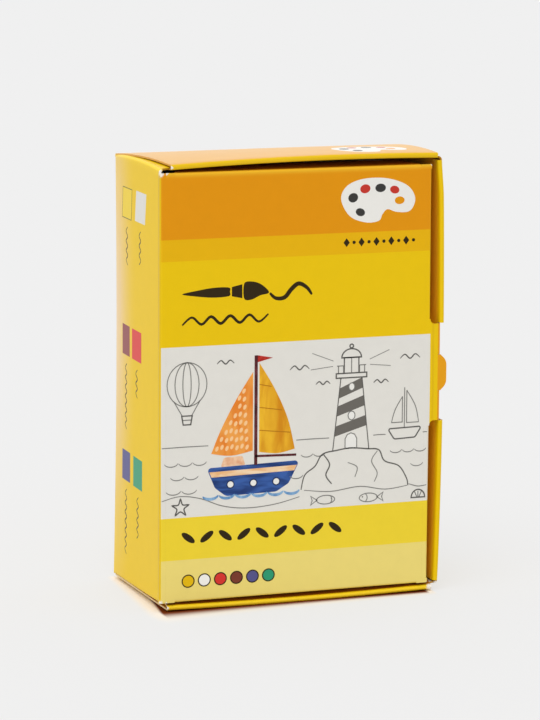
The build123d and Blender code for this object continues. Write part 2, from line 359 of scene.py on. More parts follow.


# Cuts flat outlines, splits them where they have to bend, gives them their thickness and folds them.
# Material 0 is the outside, 1 the inside, 2 the cut edge. plate gives where a point was on the printed
# sheet. worn lists corners, with a radius each, where the print is rubbed off, and creases the folds'
# directions, places, widths and strengths, where a painted highlight lightens the print
def cutSheet(name, outlines, place, materials, uCuts=(), vCuts=(), thickness=board, proud=0.0,
             plate=lambda u, v: (u, v), worn=(), creases=()):
    sheet = bmesh.new()
    for outline in outlines:
        sheet.faces.new([sheet.verts.new((point[0], point[1], 0.0)) for point in outline])
    bmesh.ops.remove_doubles(sheet, verts=sheet.verts, dist=cutting["weld"])
    for axis, values in enumerate((uCuts, vCuts)):
        for value in values:
            point = Vector((0.0, 0.0, 0.0))
            point[axis] = value
            normal = Vector((1.0, 0.0, 0.0)) if axis == 0 else Vector((0.0, 1.0, 0.0))
            parts = sheet.verts[:] + sheet.edges[:] + sheet.faces[:]
            bmesh.ops.bisect_plane(
                sheet, geom=parts, dist=cutting["onCut"], plane_co=point, plane_no=normal)
    rims = [edge for edge in sheet.edges if edge.is_boundary]
    twins = {vert: sheet.verts.new((vert.co.x, vert.co.y, thickness)) for vert in sheet.verts[:]}
    for face in sheet.faces[:]:
        inside = sheet.faces.new([twins[vert] for vert in reversed(face.verts)])
        inside.material_index = min(1, len(materials) - 1)
    for rim in rims:
        start, end = rim.verts
        edge = sheet.faces.new((start, end, twins[end], twins[start]))
        edge.material_index = min(2, len(materials) - 1)
    flat = sheet.loops.layers.uv.new("sheet")
    rubbed = sheet.verts.layers.float.new("rubbed")
    paintedHighlight = sheet.verts.layers.float.new("paintedHighlight")
    for face in sheet.faces:
        face.smooth = True
        for loop in face.loops:
            loop[flat].uv = plate(loop.vert.co.x, loop.vert.co.y)
    for vert in sheet.verts:
        u, v, inward = vert.co
        distances = [math.dist((u, v), corner[:2]) / corner[2] for corner in worn]
        vert[rubbed] = min(distances, default=cutting["farOff"])
        # Painted highlight: how much lighter the print is drawn along each fold, for the light a rounded fold
        # catches
        highlightStrengths = [smooth(1 - abs((u, v)[axis] - at) / width) * strength
                   for axis, at, width, strength in creases]
        vert[paintedHighlight] = max(highlightStrengths, default=0.0)
        vert.co = Vector(place(u, v, inward - proud)) * mm
    bmesh.ops.recalc_face_normals(sheet, faces=sheet.faces)
    mesh = bpy.data.meshes.new(name)
    sheet.to_mesh(mesh)
    sheet.free()
    mesh.set_sharp_from_angle(angle=math.radians(cutting["sharp"]))
    piece = bpy.data.objects.new(name, mesh)
    bpy.context.scene.collection.objects.link(piece)
    for material in materials:
        mesh.materials.append(material)
    return piece


def toLinear(hexColour):
    shares = [int(hexColour[i:i + 2], 16) / 255 for i in (0, 2, 4)]
    return (*[s / 12.92 if s <= 0.04045 else ((s + 0.055) / 1.055) ** 2.4 for s in shares], 1.0)


def newMaterial(name):
    material = bpy.data.materials.new(name)
    material.use_nodes = True
    material.node_tree.nodes.clear()
    return material


# Adds a node; an input given as a socket is linked, anything else is set on the socket
def addNode(material, kind, inputs=None, **settings):
    node = material.node_tree.nodes.new(kind)
    for name, value in settings.items():
        setattr(node, name, value)
    for name, value in (inputs or {}).items():
        if isinstance(value, bpy.types.NodeSocket):
            material.node_tree.links.new(value, node.inputs[name])
        else:
            node.inputs[name].default_value = value
    return node


# Folding boxboard, white, offset printed and glossed with a water-based varnish: a thin even sheen over
# a solid ink that mottles by a few percent and shows the board's fibre as a faint tooth. Along a fold a
# painted highlight lightens the ink, for the light a rounded fold catches, and a rubbed corner shows white
# fibres.
# The tooth is really about 0.1 mm wide and is drawn coarser, so that it shows at all
coated = {
    "roughness": 0.34, "sheen": 0.14, "mottleSize": 3.5, "mottle": 0.028,
    "tooth": 0.35, "toothDepth": 0.004, "toothStrength": 0.5, "paintedHighlight": "FFE040",
    "bare": "F3EDE2", "bareRoughness": 0.85, "fraySize": 0.4545, "fray": (1.15, 1.45),
    "brushMarks": (0.38, 0.64),
}
# Nearly all of a noise lies between these two values
noiseRange = {"From Min": 0.3, "From Max": 0.7}


# A base colour with areas (left, right, low, high, colour) printed over it, None for an open side.
# fade is (axis, start, end, colour): the colour turns into that one on the way.
# paler is (middle, radii, colour): a soft lighter oval, painted sheen that stands in for the varnish's
# reflection at a grazing angle.
# painted is (colour, size along X, size along Y): brush marks of a second colour, as long and as wide
# as a small round brush leaves them.
# sheen is the varnish's
def printedBoard(name, base, areas=(), fade=None, paler=None, painted=None, sheen=coated["sheen"]):
    material = newMaterial(name)
    sheet = addNode(material, "ShaderNodeUVMap", uv_map="sheet")
    parts = addNode(material, "ShaderNodeSeparateXYZ", {"Vector": sheet.outputs["UV"]})
    inked = toLinear(base)
    for *limits, colour in areas:
        inside = 1.0
        for way, limit, operation in zip("XXYY", limits, ("GREATER_THAN", "LESS_THAN") * 2):
            if limit is None:
                continue
            side = addNode(
                material, "ShaderNodeMath", {0: parts.outputs[way], 1: limit}, operation=operation)
            inside = addNode(material, "ShaderNodeMath", {
                0: inside, 1: side.outputs["Value"]}, operation="MULTIPLY").outputs["Value"]
        inked = addNode(material, "ShaderNodeMix", {
            "Factor": inside, "A": inked, "B": toLinear(colour)}, data_type="RGBA").outputs["Result"]
    shares = []
    if fade:
        way, start, end, colour = fade
        share = addNode(material, "ShaderNodeMapRange", {
            "Value": parts.outputs[way], "From Min": start, "From Max": end}, interpolation_type="SMOOTHSTEP")
        shares.append((share.outputs["Result"], colour))
    if paler:
        (middleX, middleY), (wide, high), colour = paler
        place = addNode(material, "ShaderNodeMapping", {
            "Vector": sheet.outputs["UV"], "Location": (-middleX / wide, -middleY / high, 0.0),
            "Scale": (1 / wide, 1 / high, 1.0)})
        share = addNode(material, "ShaderNodeTexGradient", {
            "Vector": place.outputs["Vector"]}, gradient_type="QUADRATIC_SPHERE")
        shares.append((share.outputs["Fac"], colour))
    if painted:
        colour, along, across = painted
        bristles = addNode(material, "ShaderNodeMapping", {
            "Vector": sheet.outputs["UV"], "Scale": (1 / along, 1 / across, 1.0)})
        marks = addNode(material, "ShaderNodeTexNoise", {
            "Vector": bristles.outputs["Vector"], "Scale": 1.0, "Detail": 3.0, "Distortion": 0.6})
        share = addNode(material, "ShaderNodeMapRange", {
            "Value": marks.outputs["Fac"], "From Min": coated["brushMarks"][0],
            "From Max": coated["brushMarks"][1]})
        shares.append((share.outputs["Result"], colour))
    for share, colour in shares:
        inked = addNode(material, "ShaderNodeMix", {
            "Factor": share, "A": inked, "B": toLinear(colour)}, data_type="RGBA").outputs["Result"]
    mottle = addNode(material, "ShaderNodeTexNoise", {
        "Vector": sheet.outputs["UV"], "Scale": 1 / coated["mottleSize"], "Detail": 6.0, "Roughness": 0.6})
    tone = addNode(material, "ShaderNodeMapRange", {
        "Value": mottle.outputs["Fac"], **noiseRange,
        "To Min": 1 - coated["mottle"] / 2, "To Max": 1 + coated["mottle"] / 2})
    mottled = addNode(material, "ShaderNodeMix", {
        "Factor": 1.0, "A": inked, "B": tone.outputs["Result"]}, data_type="RGBA", blend_type="MULTIPLY")
    # Painted highlight along the folds: the print turns lighter towards a golden yellow there
    paintedHighlight = addNode(material, "ShaderNodeAttribute", attribute_name="paintedHighlight")
    highlighted = addNode(material, "ShaderNodeMix", {
        "Factor": paintedHighlight.outputs["Fac"], "A": mottled.outputs["Result"],
        "B": toLinear(coated["paintedHighlight"])}, data_type="RGBA")
    rubbed = addNode(material, "ShaderNodeAttribute", attribute_name="rubbed")
    fray = addNode(material, "ShaderNodeTexNoise", {
        "Vector": sheet.outputs["UV"], "Scale": 1 / coated["fraySize"], "Detail": 3.0, "Roughness": 0.7})
    ragged = addNode(material, "ShaderNodeMath", {
        0: rubbed.outputs["Fac"], 1: fray.outputs["Fac"]}, operation="ADD")
    bare = addNode(material, "ShaderNodeMapRange", {
        "Value": ragged.outputs["Value"], "From Min": coated["fray"][0], "From Max": coated["fray"][1],
        "To Min": 1.0, "To Max": 0.0})
    worn = addNode(material, "ShaderNodeMix", {
        "Factor": bare.outputs["Result"], "A": highlighted.outputs["Result"],
        "B": toLinear(coated["bare"])}, data_type="RGBA")
    tooth = addNode(material, "ShaderNodeTexNoise", {
        "Vector": sheet.outputs["UV"], "Scale": 1 / coated["tooth"], "Detail": 4.0, "Roughness": 0.65})
    bump = addNode(material, "ShaderNodeBump", {
        "Strength": coated["toothStrength"], "Distance": coated["toothDepth"] * mm,
        "Height": tooth.outputs["Fac"]})
    dulled = addNode(material, "ShaderNodeMapRange", {
        "Value": bare.outputs["Result"], "To Min": coated["roughness"], "To Max": coated["bareRoughness"]})
    shader = addNode(material, "ShaderNodeBsdfPrincipled", {
        "Base Color": worn.outputs["Result"], "Roughness": dulled.outputs["Result"],
        "Specular IOR Level": sheen, "Normal": bump.outputs["Normal"]})
    addNode(material, "ShaderNodeOutputMaterial", {"Surface": shader.outputs["BSDF"]})
    return material


# The unprinted inside of the same board: matte grey-white pulp with short fibres and a few specks. A
# fibre is really a few hundredths of a millimetre wide and is drawn coarser
uncoated = {
    "fibre": 0.625, "tones": ((0.25, "C9C3B6"), (0.6, "E2DDD1")), "depth": 0.012, "strength": 0.6,
    "roughness": 0.85,
}
rawBoard = newMaterial("uncoated_inside")
rawSheet = addNode(rawBoard, "ShaderNodeUVMap", uv_map="sheet")
rawFibre = addNode(rawBoard, "ShaderNodeTexNoise", {
    "Vector": rawSheet.outputs["UV"], "Scale": 1 / uncoated["fibre"], "Detail": 8.0, "Roughness": 0.75})
rawTone = addNode(rawBoard, "ShaderNodeValToRGB", {"Fac": rawFibre.outputs["Fac"]})
for element, (position, shade) in zip(rawTone.color_ramp.elements, uncoated["tones"]):
    element.position = position
    element.color = toLinear(shade)
rawBump = addNode(rawBoard, "ShaderNodeBump", {
    "Strength": uncoated["strength"], "Distance": uncoated["depth"] * mm,
    "Height": rawFibre.outputs["Fac"]})
rawShader = addNode(rawBoard, "ShaderNodeBsdfPrincipled", {
    "Base Color": rawTone.outputs["Color"], "Roughness": uncoated["roughness"],
    "Normal": rawBump.outputs["Normal"]})
addNode(rawBoard, "ShaderNodeOutputMaterial", {"Surface": rawShader.outputs["BSDF"]})

# Colours of the print, some of them painted light or shade as said beside them, and where its bands and
# areas lie on the lid. lugFold, topFold, gapFade and innerFade are strips beside a fold or a roll, by their
# distances from it
inks = {
    "orange": "E39400", "deepYellow": "E8B300", "yellow": "ECC400", "picture": "E4E1D9",
    # wallBack is painted sheen, the lighter tone of the side wall by its back fold
    "lowYellow": "F0D332", "paleYellow": "EED978", "wall": "EDC602", "wallBack": "F2D8C2",
    # top is the upper face's orange drawn lighter than the lid's, painted sheen for the varnish seen at a
    # grazing angle, and topFold the deeper strip before its roll; lowRoll is a painted highlight, the lower
    # wall's yellow drawn brighter; gap is painted shade, a dark brown inside the rolled edges
    "top": "E4B05D", "topFold": "E3A53C", "topRoll": "E4B90C", "lowRoll": "F4CC0C", "gap": "B4660A",
    # fold is painted shade on the hinge crease, and lugFold a darker line of painted shade along the crease
    # on the lug; inner is an orange brightened as painted bounce light in the latch wall's gap
    "fold": "E0B806", "lugFold": "E4BA06", "tab": "E89F10", "inner": "FFBE2A",
    # edge is painted shade: a brown for cut edges and hidden faces, where the board's core is white
    "edge": "BF8A1E", "topEdge": "DCA548", "paleEdge": "EBD3A4", "dark": "2E2208", "line": "7F7E79",
    "charcoal": "3A3937", "white": "EDEBE5", "red": "C5372B",
}
layout = {
    "lowBand": 13.59, "pictureLow": 24.7, "pictureHigh": 69.08, "highBand": 91.04, "orangeBand": 96.57,
    "left": left + 0.3, "right": lidEdge, "lugLow": 45.0, "lugHigh": 72.3, "lugFold": (0.5, 1.1),
    "tab": 37.15, "topFold": 1.2, "gapFade": (0.4, 0.6), "innerFade": (0.5, 2.5),
}
# Side wall's lighter oval by the fold at the back, painted sheen for the varnish's reflection at a grazing
# angle, and its thinner varnish
sideSheen = {"middle": (depth + 0.5, 0.62 * top), "radii": (20.0, 100.0), "sheen": 0.08}
lidAreas = [
    (None, None, None, layout["pictureLow"], inks["lowYellow"]),
    (None, None, None, layout["lowBand"], inks["paleYellow"]),
    (None, None, layout["highBand"], None, inks["deepYellow"]),
    (None, None, layout["orangeBand"], None, inks["orange"]),
    (layout["left"], layout["right"], layout["pictureLow"], layout["pictureHigh"], inks["picture"]),
    # A darker yellow on the hinge crease: painted shade that holds back the light the crease catches
    (None, layout["left"], None, None, inks["fold"]),
    # A darker line along the crease on the lug: painted shade
    (lidEdge + layout["lugFold"][0], lidEdge + layout["lugFold"][1], layout["lugLow"], layout["lugHigh"],
     inks["lugFold"]),
    (layout["tab"], None, layout["lugLow"], layout["lugHigh"], inks["tab"]),
]
lidPrint = printedBoard("offset_lid_print", inks["yellow"], lidAreas)
yellowPrint = printedBoard("offset_yellow_print", inks["yellow"])
wallPrintAndPaintedSheen = printedBoard(
    "offset_side_print_with_painted_sheen", inks["wall"], paler=(sideSheen["middle"], sideSheen["radii"], inks["wallBack"]),
    sheen=sideSheen["sheen"])
# Past its roll an end wall's inner layer turns a dark brown: painted shade in the gap under the rolled edge
gapFade = ("Y", rollEnd - layout["gapFade"][0], rollEnd + layout["gapFade"][1], inks["gap"])
# The upper face: its orange is drawn lighter than the lid's as painted sheen for the varnish seen at a
# grazing angle, deeper in a strip before the roll, with painted shade past the roll
topPrintAndPaintedLight = printedBoard("offset_top_print_with_painted_sheen_and_shade", inks["top"], [
    (None, None, rollStart - layout["topFold"], None, inks["topFold"]),
    (None, None, rollStart, None, inks["topRoll"])], fade=gapFade)
# The lower wall: its yellow is drawn brighter than the lid's as a painted highlight on its roll, with the
# same painted shade past the roll
lowPrintAndPaintedLight = printedBoard("offset_lower_print_with_painted_light_and_shade", inks["lowRoll"], fade=gapFade)
# Cut edges, and faces hidden between the layers, in a brown that stands in for the shade along the edges and
# in the gaps beside them: painted shade, where the board's core is white
shadeBrownEdge = printedBoard("painted_shade_brown_edge", inks["edge"])
plainBoard = [yellowPrint, rawBoard, shadeBrownEdge]
paleEdge = printedBoard("pale_cut_edge", inks["paleEdge"])
topEdge = printedBoard("upper_cut_edge", inks["topEdge"])
# Past its roll the latch wall's inner layer turns an orange brightened to stand in for light bouncing in the
# gap beside the lid: painted bounce light
innerFade = ("X", rollEnd - layout["innerFade"][0], rollEnd + layout["innerFade"][1], inks["inner"])
latchPrintAndPaintedBounce = printedBoard("offset_latch_print_with_painted_bounce", inks["yellow"], fade=innerFade)
rolledBoard = [latchPrintAndPaintedBounce, shadeBrownEdge, shadeBrownEdge]
print("board materials ready")


# Board of the carton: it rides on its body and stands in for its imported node
def carton(piece, body, *nodes):
    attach(piece, body)
    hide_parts(*nodes)


def foldCuts(start, end):
    return spread(start, end, abs(end - start) / fold["steps"]) + [start, end]


# Hinge wall: from the lid's crease to its fold into the back panel, with a fold at each end
hinge = {
    "step": 3.0, "endStep": 1.0, "edge": 0.3, "corner": (0.5, 0.7),
    "worn": ((0.0, 114.9, 1.1), (1.0, 3.0, 0.9)),
}
wallHigh = flapLevel - fold["radius"]
wallLow = top - wallHigh
cornerDeep = foldDepth + hinge["corner"][0]
cornerLow = wallLow - hinge["corner"][1]
cornerHigh = wallHigh + hinge["corner"][1]
hingeOutline = [
    (fold["reach"], lidBottom), (fold["reach"], wallLow - foldTurn), (foldDepth, wallLow - foldTurn),
    (foldDepth, cornerLow), (cornerDeep, cornerLow), (foldDepth + foldTurn, wallLow),
    (foldDepth + foldTurn, wallHigh), (cornerDeep, cornerHigh), (foldDepth, cornerHigh),
    (foldDepth, wallHigh + foldTurn), (hinge["edge"], wallHigh + foldTurn),
    (hinge["edge"], lidTop), (fold["reach"], lidTop),
]
wallRings = foldCuts(wallLow, wallLow - foldTurn) + foldCuts(wallHigh, wallHigh + foldTurn)
wallEnds = (spread(wallLow, wallLow + spring["settle"], hinge["endStep"])
            + spread(wallHigh - spring["settle"], wallHigh, hinge["endStep"]))
hingeWall = cutSheet(
    "hinge_wall_board", [hingeOutline], hingePlace, [wallPrintAndPaintedSheen, rawBoard, shadeBrownEdge],
    uCuts=spread(0, foldDepth, hinge["step"]) + foldCuts(foldDepth, foldDepth + foldTurn),
    vCuts=spread(wallLow, wallHigh, hinge["step"]) + wallRings + wallEnds, worn=hinge["worn"],
    creases=[(0, foldDepth + foldTurn / 2, fold["highlightOver"], fold["highlight"]),
             (1, wallHigh + foldTurn / 2, fold["highlightOver"], fold["highlight"])])
carton(hingeWall, "tray", "hinge_wall")

# Latch wall: rolled double, with the finger notch cut through its roll and two lock tabs at the back
latch = {
    "step": 3.0, "rise": 0.88, "notch": 25.9, "notchDepth": 6.5,  # rise is above the lid's middle
    "corner": (1.8, 0.5), "innerLower": (0.0, 0.9),  # at the notch's lower edge and at its upper one
    "lowerFrom": 0.4, "layerGap": 0.05, "backGap": 0.15, "tab": 12.0, "tabSpacing": 76.0,
    "worn": (0.6, 1.3),
}
notchMiddle = (lidLow.z + lidHigh.z) / 2 + latch["rise"]
innerEnd = rollEnd + (depth - board - latch["backGap"]) - rollRadius
tabEnd = rollEnd + depth - rollRadius
notchOut = foldDepth - latch["notchDepth"]
notchIn = rollEnd + latch["notchDepth"] - rollRadius


# Half of the wall's sheet: sign is 1 above the notch's middle and -1 below it
def latchHalf(sign):
    half = 1 if sign > 0 else 0
    notchEdge = notchMiddle + sign * latch["notch"] / 2
    wallEdge = wallHigh if sign > 0 else wallLow
    layerEdge = top - roll - latch["layerGap"] if sign > 0 else roll + latch["layerGap"]
    tabMiddle = top / 2 + sign * latch["tabSpacing"] / 2
    tabFar = tabMiddle + sign * latch["tab"] / 2
    tabNear = tabMiddle - sign * latch["tab"] / 2
    lower = latch["innerLower"][half]
    points = [
        (-foldTurn, notchMiddle), (-foldTurn, wallEdge), (0, wallEdge), (0, wallEdge + sign * foldTurn),
        (rollStart, wallEdge + sign * foldTurn), (rollStart, layerEdge), (innerEnd, layerEdge),
        (innerEnd, tabFar), (tabEnd, tabFar), (tabEnd, tabNear), (innerEnd, tabNear),
        (innerEnd, notchMiddle), (notchIn, notchMiddle), (notchIn, notchEdge - lower),
    ]
    if lower:
        stepAt = rollEnd + latch["lowerFrom"]
        points += [(stepAt, notchEdge - lower), (stepAt, notchEdge)]
    points += [(notchOut, notchEdge), (notchOut, notchMiddle)]
    corner = latch["corner"][half]
    radii = [0] * 13 + [corner] + [0] * (len(points) - 16) + [corner, 0]
    return rounded(points, radii)


rollCuts = spread(rollStart, rollEnd, fold["rollStep"]) + [rollStart, rollEnd]
latchWall = cutSheet(
    "latch_wall_board", [latchHalf(1), latchHalf(-1)], latchPlace, rolledBoard,
    uCuts=foldCuts(-foldTurn, 0) + spread(0, rollStart, latch["step"]) + rollCuts
    + spread(rollEnd, innerEnd, latch["step"]),
    vCuts=spread(wallLow, wallHigh, latch["step"]) + wallRings + wallEnds,
    worn=[(rollStart - latch["worn"][0], wallLow - foldTurn, latch["worn"][1])])
carton(latchWall, "tray", "latch_wall")

# End walls: rolled double, tapered towards the roll, with two lock tabs each
endWall = {
    "step": 3.0, "hingeGap": {"top": 0.3, "bottom": 0.08}, "hingeTaper": {"top": 2.7, "bottom": 2.0},
    "latchGap": 0.3, "latchTaper": 1.4, "innerTrim": 0.85, "tab": 12.0, "tabSpacing": 38.0,
    # The strengths given last are those of the painted highlight along each end's rolled edge
    "worn": {"top": (0.7, 0.2), "bottom": (0.6, 1.7)}, "rollHighlight": {"top": 0.1, "bottom": 0.4},
}


def endEdges(end, deep):
    share = 1 - deep / depth
    hingeEdge = left + endWall["hingeGap"][end] + endWall["hingeTaper"][end] * share
    latchEdge = right - endWall["latchGap"] - endWall["latchTaper"] * share
    return hingeEdge, latchEdge


endInner = left + endWall["innerTrim"], right - endWall["innerTrim"]
tabHalf = endWall["tab"] / 2
tabAt = endWall["tabSpacing"] / 2
endCuts = (foldCuts(-foldTurn, 0) + spread(0, rollStart, endWall["step"]) + rollCuts
           + spread(rollEnd, innerEnd, endWall["step"]))
rollMiddle = (rollStart + rollEnd) / 2
for end, place, outside, edge in [
        ("top", topPlace, topPrintAndPaintedLight, topEdge), ("bottom", lowPlace, lowPrintAndPaintedLight, paleEdge)]:
    endBack = endEdges(end, depth)
    endFront = endEdges(end, 0)
    endOutline = [
        (endBack[0], -foldTurn), (endBack[0], 0), (endFront[0], rollStart), (endFront[0], rollEnd),
        (endInner[0], innerEnd), (-tabAt - tabHalf, innerEnd), (-tabAt - tabHalf, tabEnd),
        (-tabAt + tabHalf, tabEnd), (-tabAt + tabHalf, innerEnd), (tabAt - tabHalf, innerEnd),
        (tabAt - tabHalf, tabEnd), (tabAt + tabHalf, tabEnd), (tabAt + tabHalf, innerEnd),
        (endInner[1], innerEnd), (endFront[1], rollEnd), (endFront[1], rollStart),
        (endBack[1], 0), (endBack[1], -foldTurn),
    ]
    wall = cutSheet(
        f"{end}_wall_board", [endOutline], place, [outside, shadeBrownEdge, edge],
        uCuts=spread(left, right, endWall["step"]), vCuts=endCuts,
        worn=[(x, rollMiddle, radius) for x, radius in zip(endFront, endWall["worn"][end])],
        creases=[(1, rollMiddle, fold["highlightOver"], endWall["rollHighlight"][end]),
                 (1, -foldTurn / 2, fold["highlightOver"], fold["highlight"])])
    carton(wall, "tray", f"{end}_end_wall")

# Back panel, notched along its edges for the lock tabs
rear = {"step": 6.0, "slotGap": 0.15}
rearLeft = left + fold["radius"]
rearRight = right - fold["radius"]
rearTop = top - fold["radius"] - spring["topBackDrop"]
rearLow = fold["radius"] + spring["lowHeel"]
slotDepth = roll + rear["slotGap"] - fold["radius"]
slotHalf = tabHalf + rear["slotGap"]
rearOutline = [(rearLeft, rearLow)]
for middle in (-tabAt, tabAt):
    rearOutline += [(middle - slotHalf, rearLow), (middle - slotHalf, rearLow + slotDepth),
                    (middle + slotHalf, rearLow + slotDepth), (middle + slotHalf, rearLow)]
rearOutline.append((rearRight, rearLow))
for middle in (top / 2 - latch["tabSpacing"] / 2, top / 2 + latch["tabSpacing"] / 2):
    rearOutline += [(rearRight, middle - slotHalf), (rearRight - slotDepth, middle - slotHalf),
                    (rearRight - slotDepth, middle + slotHalf), (rearRight, middle + slotHalf)]
rearOutline.append((rearRight, rearTop))
for middle in (tabAt, -tabAt):
    rearOutline += [(middle + slotHalf, rearTop), (middle + slotHalf, rearTop - slotDepth),
                    (middle - slotHalf, rearTop - slotDepth), (middle - slotHalf, rearTop)]
rearOutline.append((rearLeft, rearTop))
rearPanel = cutSheet(
    "back_panel_board", [rearOutline], backPlace, plainBoard,
    uCuts=spread(left, right, rear["step"]), vCuts=spread(0, top, rear["step"]))
carton(rearPanel, "tray", "back_panel")

# Corner flaps between the layers of the end walls
corner = {"step": 2.0, "length": 16.0, "slant": 3.0, "radius": 2.0, "gap": 0.6}
for side, root, sign in [("hinge", rearLeft, 1), ("latch", rearRight, -1)]:
    tip = root + sign * corner["length"]
    flapFront = rollRadius + corner["gap"]
    flapBack = foldDepth - corner["gap"]
    points = [(root, flapFront), (tip, flapFront + corner["slant"]), (tip, flapBack - corner["slant"]),
              (root, flapBack)]
    outline = rounded(points, [0, corner["radius"], corner["radius"], 0])
    for end, place in [("upper", topFlapPlace), ("lower", lowFlapPlace)]:
        flap = cutSheet(
            f"{side}_{end}_flap_board", [outline], place, plainBoard,
            uCuts=spread(root, tip, corner["step"]), vCuts=spread(0, depth, corner["step"]))
        carton(flap, "tray", f"{side}_{end}_corner_flap")
print("tray ready")

# Lid: the folds along its edges are strips of their own, so the panel is cut back where they are.
# Its lug reaches into the notch, with a lip folded down each side of the pull tab
lid = {
    "step": 4.0, "corner": 0.35, "topCuts": (1.8, 0.3),  # closer cuts along the upper edge
    "worn": {"hinge": (0.8, 0.55), "latch": (0.5, 0.3)},  # radii at the upper corner and at the lower one
}
lug = {
    "reach": 2.8, "spread": 0.15, "clearance": 0.12, "corner": 1.2, "lip": 1.6, "lipCorner": 0.5, "gap": 0.08,
}
tab = {"length": 9.5, "shift": -0.17, "reach": 1.8, "slant": 1.6, "corner": 2.8}
tuck = {"tip": 12.0, "inset": 1.2, "corner": 6.0, "cornerSteps": 8}
dust = {
    "left": dustLow.x, "right": dustHigh.x, "tip": 12.0, "hingeSlant": 7.0, "latchSlant": 2.0, "corner": 3.0,
}
# Over what width and how strongly a painted highlight lightens the print along each of the lid's creases.
# The hinge crease is rubbed at its ends, and cut more closely there
crease = {
    "steps": 18, "lid": (0.75, 0.1), "tuck": (0.375, 0.3), "top": (1.5, 0.4), "bottom": (0.5, 0.4),
    "worn": (1.15, 0.85), "endCuts": (0.5, 1.0),
}
lugLow = notchMiddle - latch["notch"] / 2 + lug["clearance"]
lugHigh = notchMiddle + latch["notch"] / 2 - lug["clearance"]
lugEnd = lidEdge + lug["reach"]
lugBend = lugEnd - fold["radius"] + lug["spread"]
reliefLow = lugLow - lug["corner"] - lug["clearance"]
reliefHigh = lugHigh + lug["corner"] + lug["clearance"]
tuckBottom = lidBottom + tuck["inset"]
tuckTop = lidTop - tuck["inset"]
tabLow = notchMiddle + tab["shift"] - tab["length"] / 2
tabHigh = tabLow + tab["length"]
tabTip = lugEnd + tab["reach"]
lugFace = lugBend + fold["radius"]
inLeft = left + fold["reach"]
inRight = lidEdge - fold["reach"]
inTop = lidTop - fold["reach"]
inLow = lidBottom + fold["reach"]
lidPoints = [
    (inLeft, lidBottom, 0), (dust["left"], lidBottom, 0), (dust["left"], inLow, 0), (dust["right"], inLow, 0),
    (dust["right"], lidBottom, 0), (lidEdge, lidBottom, lid["corner"]), (lidEdge, tuckBottom, 0),
    (inRight, tuckBottom, 0), (inRight, reliefLow, 0), (lidEdge, reliefLow, 0),
    (lidEdge, lugLow, lug["corner"]), (lugBend, lugLow, 0), (lugBend, tabLow, 0), (lugFace, tabLow, 0),
    (tabTip, tabLow + tab["slant"], tab["corner"]), (tabTip, tabHigh - tab["slant"], tab["corner"]),
    (lugFace, tabHigh, 0), (lugBend, tabHigh, 0), (lugBend, lugHigh, 0), (lidEdge, lugHigh, lug["corner"]),
    (lidEdge, reliefHigh, 0), (inRight, reliefHigh, 0), (inRight, tuckTop, 0), (lidEdge, tuckTop, 0),
    (lidEdge, lidTop, lid["corner"]), (dust["right"], lidTop, 0), (dust["right"], inTop, 0),
    (dust["left"], inTop, 0), (dust["left"], lidTop, 0), (inLeft, lidTop, 0),
]
lidOutline = rounded([point[:2] for point in lidPoints], [point[2] for point in lidPoints])
lidCorners = [(x, z, radius) for x, side in ((inLeft, "hinge"), (lidEdge, "latch"))
              for z, radius in zip((lidTop, lidBottom), lid["worn"][side])]
lidBoard = [lidPrint, rawBoard, shadeBrownEdge]
lidPanel = cutSheet(
    "lid_board", [lidOutline], lidPlace, lidBoard, uCuts=spread(left, lidEdge, lid["step"]),
    vCuts=spread(lidBottom, lidTop, lid["step"])
    + spread(lidTop - lid["topCuts"][0], lidTop, lid["topCuts"][1]),
    creases=[(1, lidTop, *crease["top"])], worn=lidCorners)
carton(lidPanel, "lid", "lid_panel")


# Lips of the lug: flat to its fold, then round and down
def lipPlace(path, z, inward):
    if path <= 0:
        return widened(lugBend, z) + path, front + inward, z
    angle = min(path / fold["radius"], math.pi / 2)
    rest = max(0.0, path - foldTurn)
    reach = fold["radius"] - inward
    x = widened(lugBend, z) + reach * math.sin(angle)
    return x, front + fold["radius"] - reach * math.cos(angle) + rest, z


lipEnd = foldTurn + lug["lip"] - fold["radius"]
for name, lipLow, lipHigh in [
        ("lower", lugLow, tabLow - lug["gap"]), ("upper", tabHigh + lug["gap"], lugHigh)]:
    lipPoints = [(0, lipLow), (lipEnd, lipLow), (lipEnd, lipHigh), (0, lipHigh)]
    lipOutline = rounded(lipPoints, [0, lug["lipCorner"], lug["lipCorner"], 0])
    lip = cutSheet(
        f"{name}_lug_lip", [lipOutline], lipPlace, lidBoard, uCuts=foldCuts(0, foldTurn),
        vCuts=spread(lipLow, lipHigh, lid["step"]), plate=lambda u, v: (lugBend + u, v))
    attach(lip, "lid")

# Tuck flap and dust flaps
tuckPoints = [
    (fold["reach"], tuckBottom), (tuck["tip"], tuckBottom), (tuck["tip"], tuckTop), (fold["reach"], tuckTop),
]
tuckOutline = rounded(tuckPoints, [0, tuck["corner"], tuck["corner"], 0], steps=tuck["cornerSteps"])
tuckFlap = cutSheet(
    "tuck_flap_board", [tuckOutline], tuckPlace, plainBoard,
    uCuts=spread(0, tuck["tip"], lid["step"]), vCuts=spread(lidBottom, lidTop, lid["step"]))
carton(tuckFlap, "tuck_flap", "tuck_flap")
dustPoints = [
    (dust["left"], fold["reach"]), (dust["right"], fold["reach"]),
    (dust["right"] - dust["latchSlant"], dust["tip"]), (dust["left"] + dust["hingeSlant"], dust["tip"]),
]
dustOutline = rounded(dustPoints, [0, 0, dust["corner"], dust["corner"]])
for end, place, edge, sign in [("top", topDustPlace, lidTop, 1), ("bottom", lowDustPlace, lidBottom, -1)]:
    flap = cutSheet(
        f"{end}_dust_flap_board", [dustOutline], place, lidBoard,
        uCuts=spread(left, lidEdge, lid["step"]), vCuts=spread(0, dust["tip"], lid["step"]),
        plate=lambda u, v: (u, edge + sign * v))
    carton(flap, f"{end}_dust_flap", f"{end}_dust_flap")

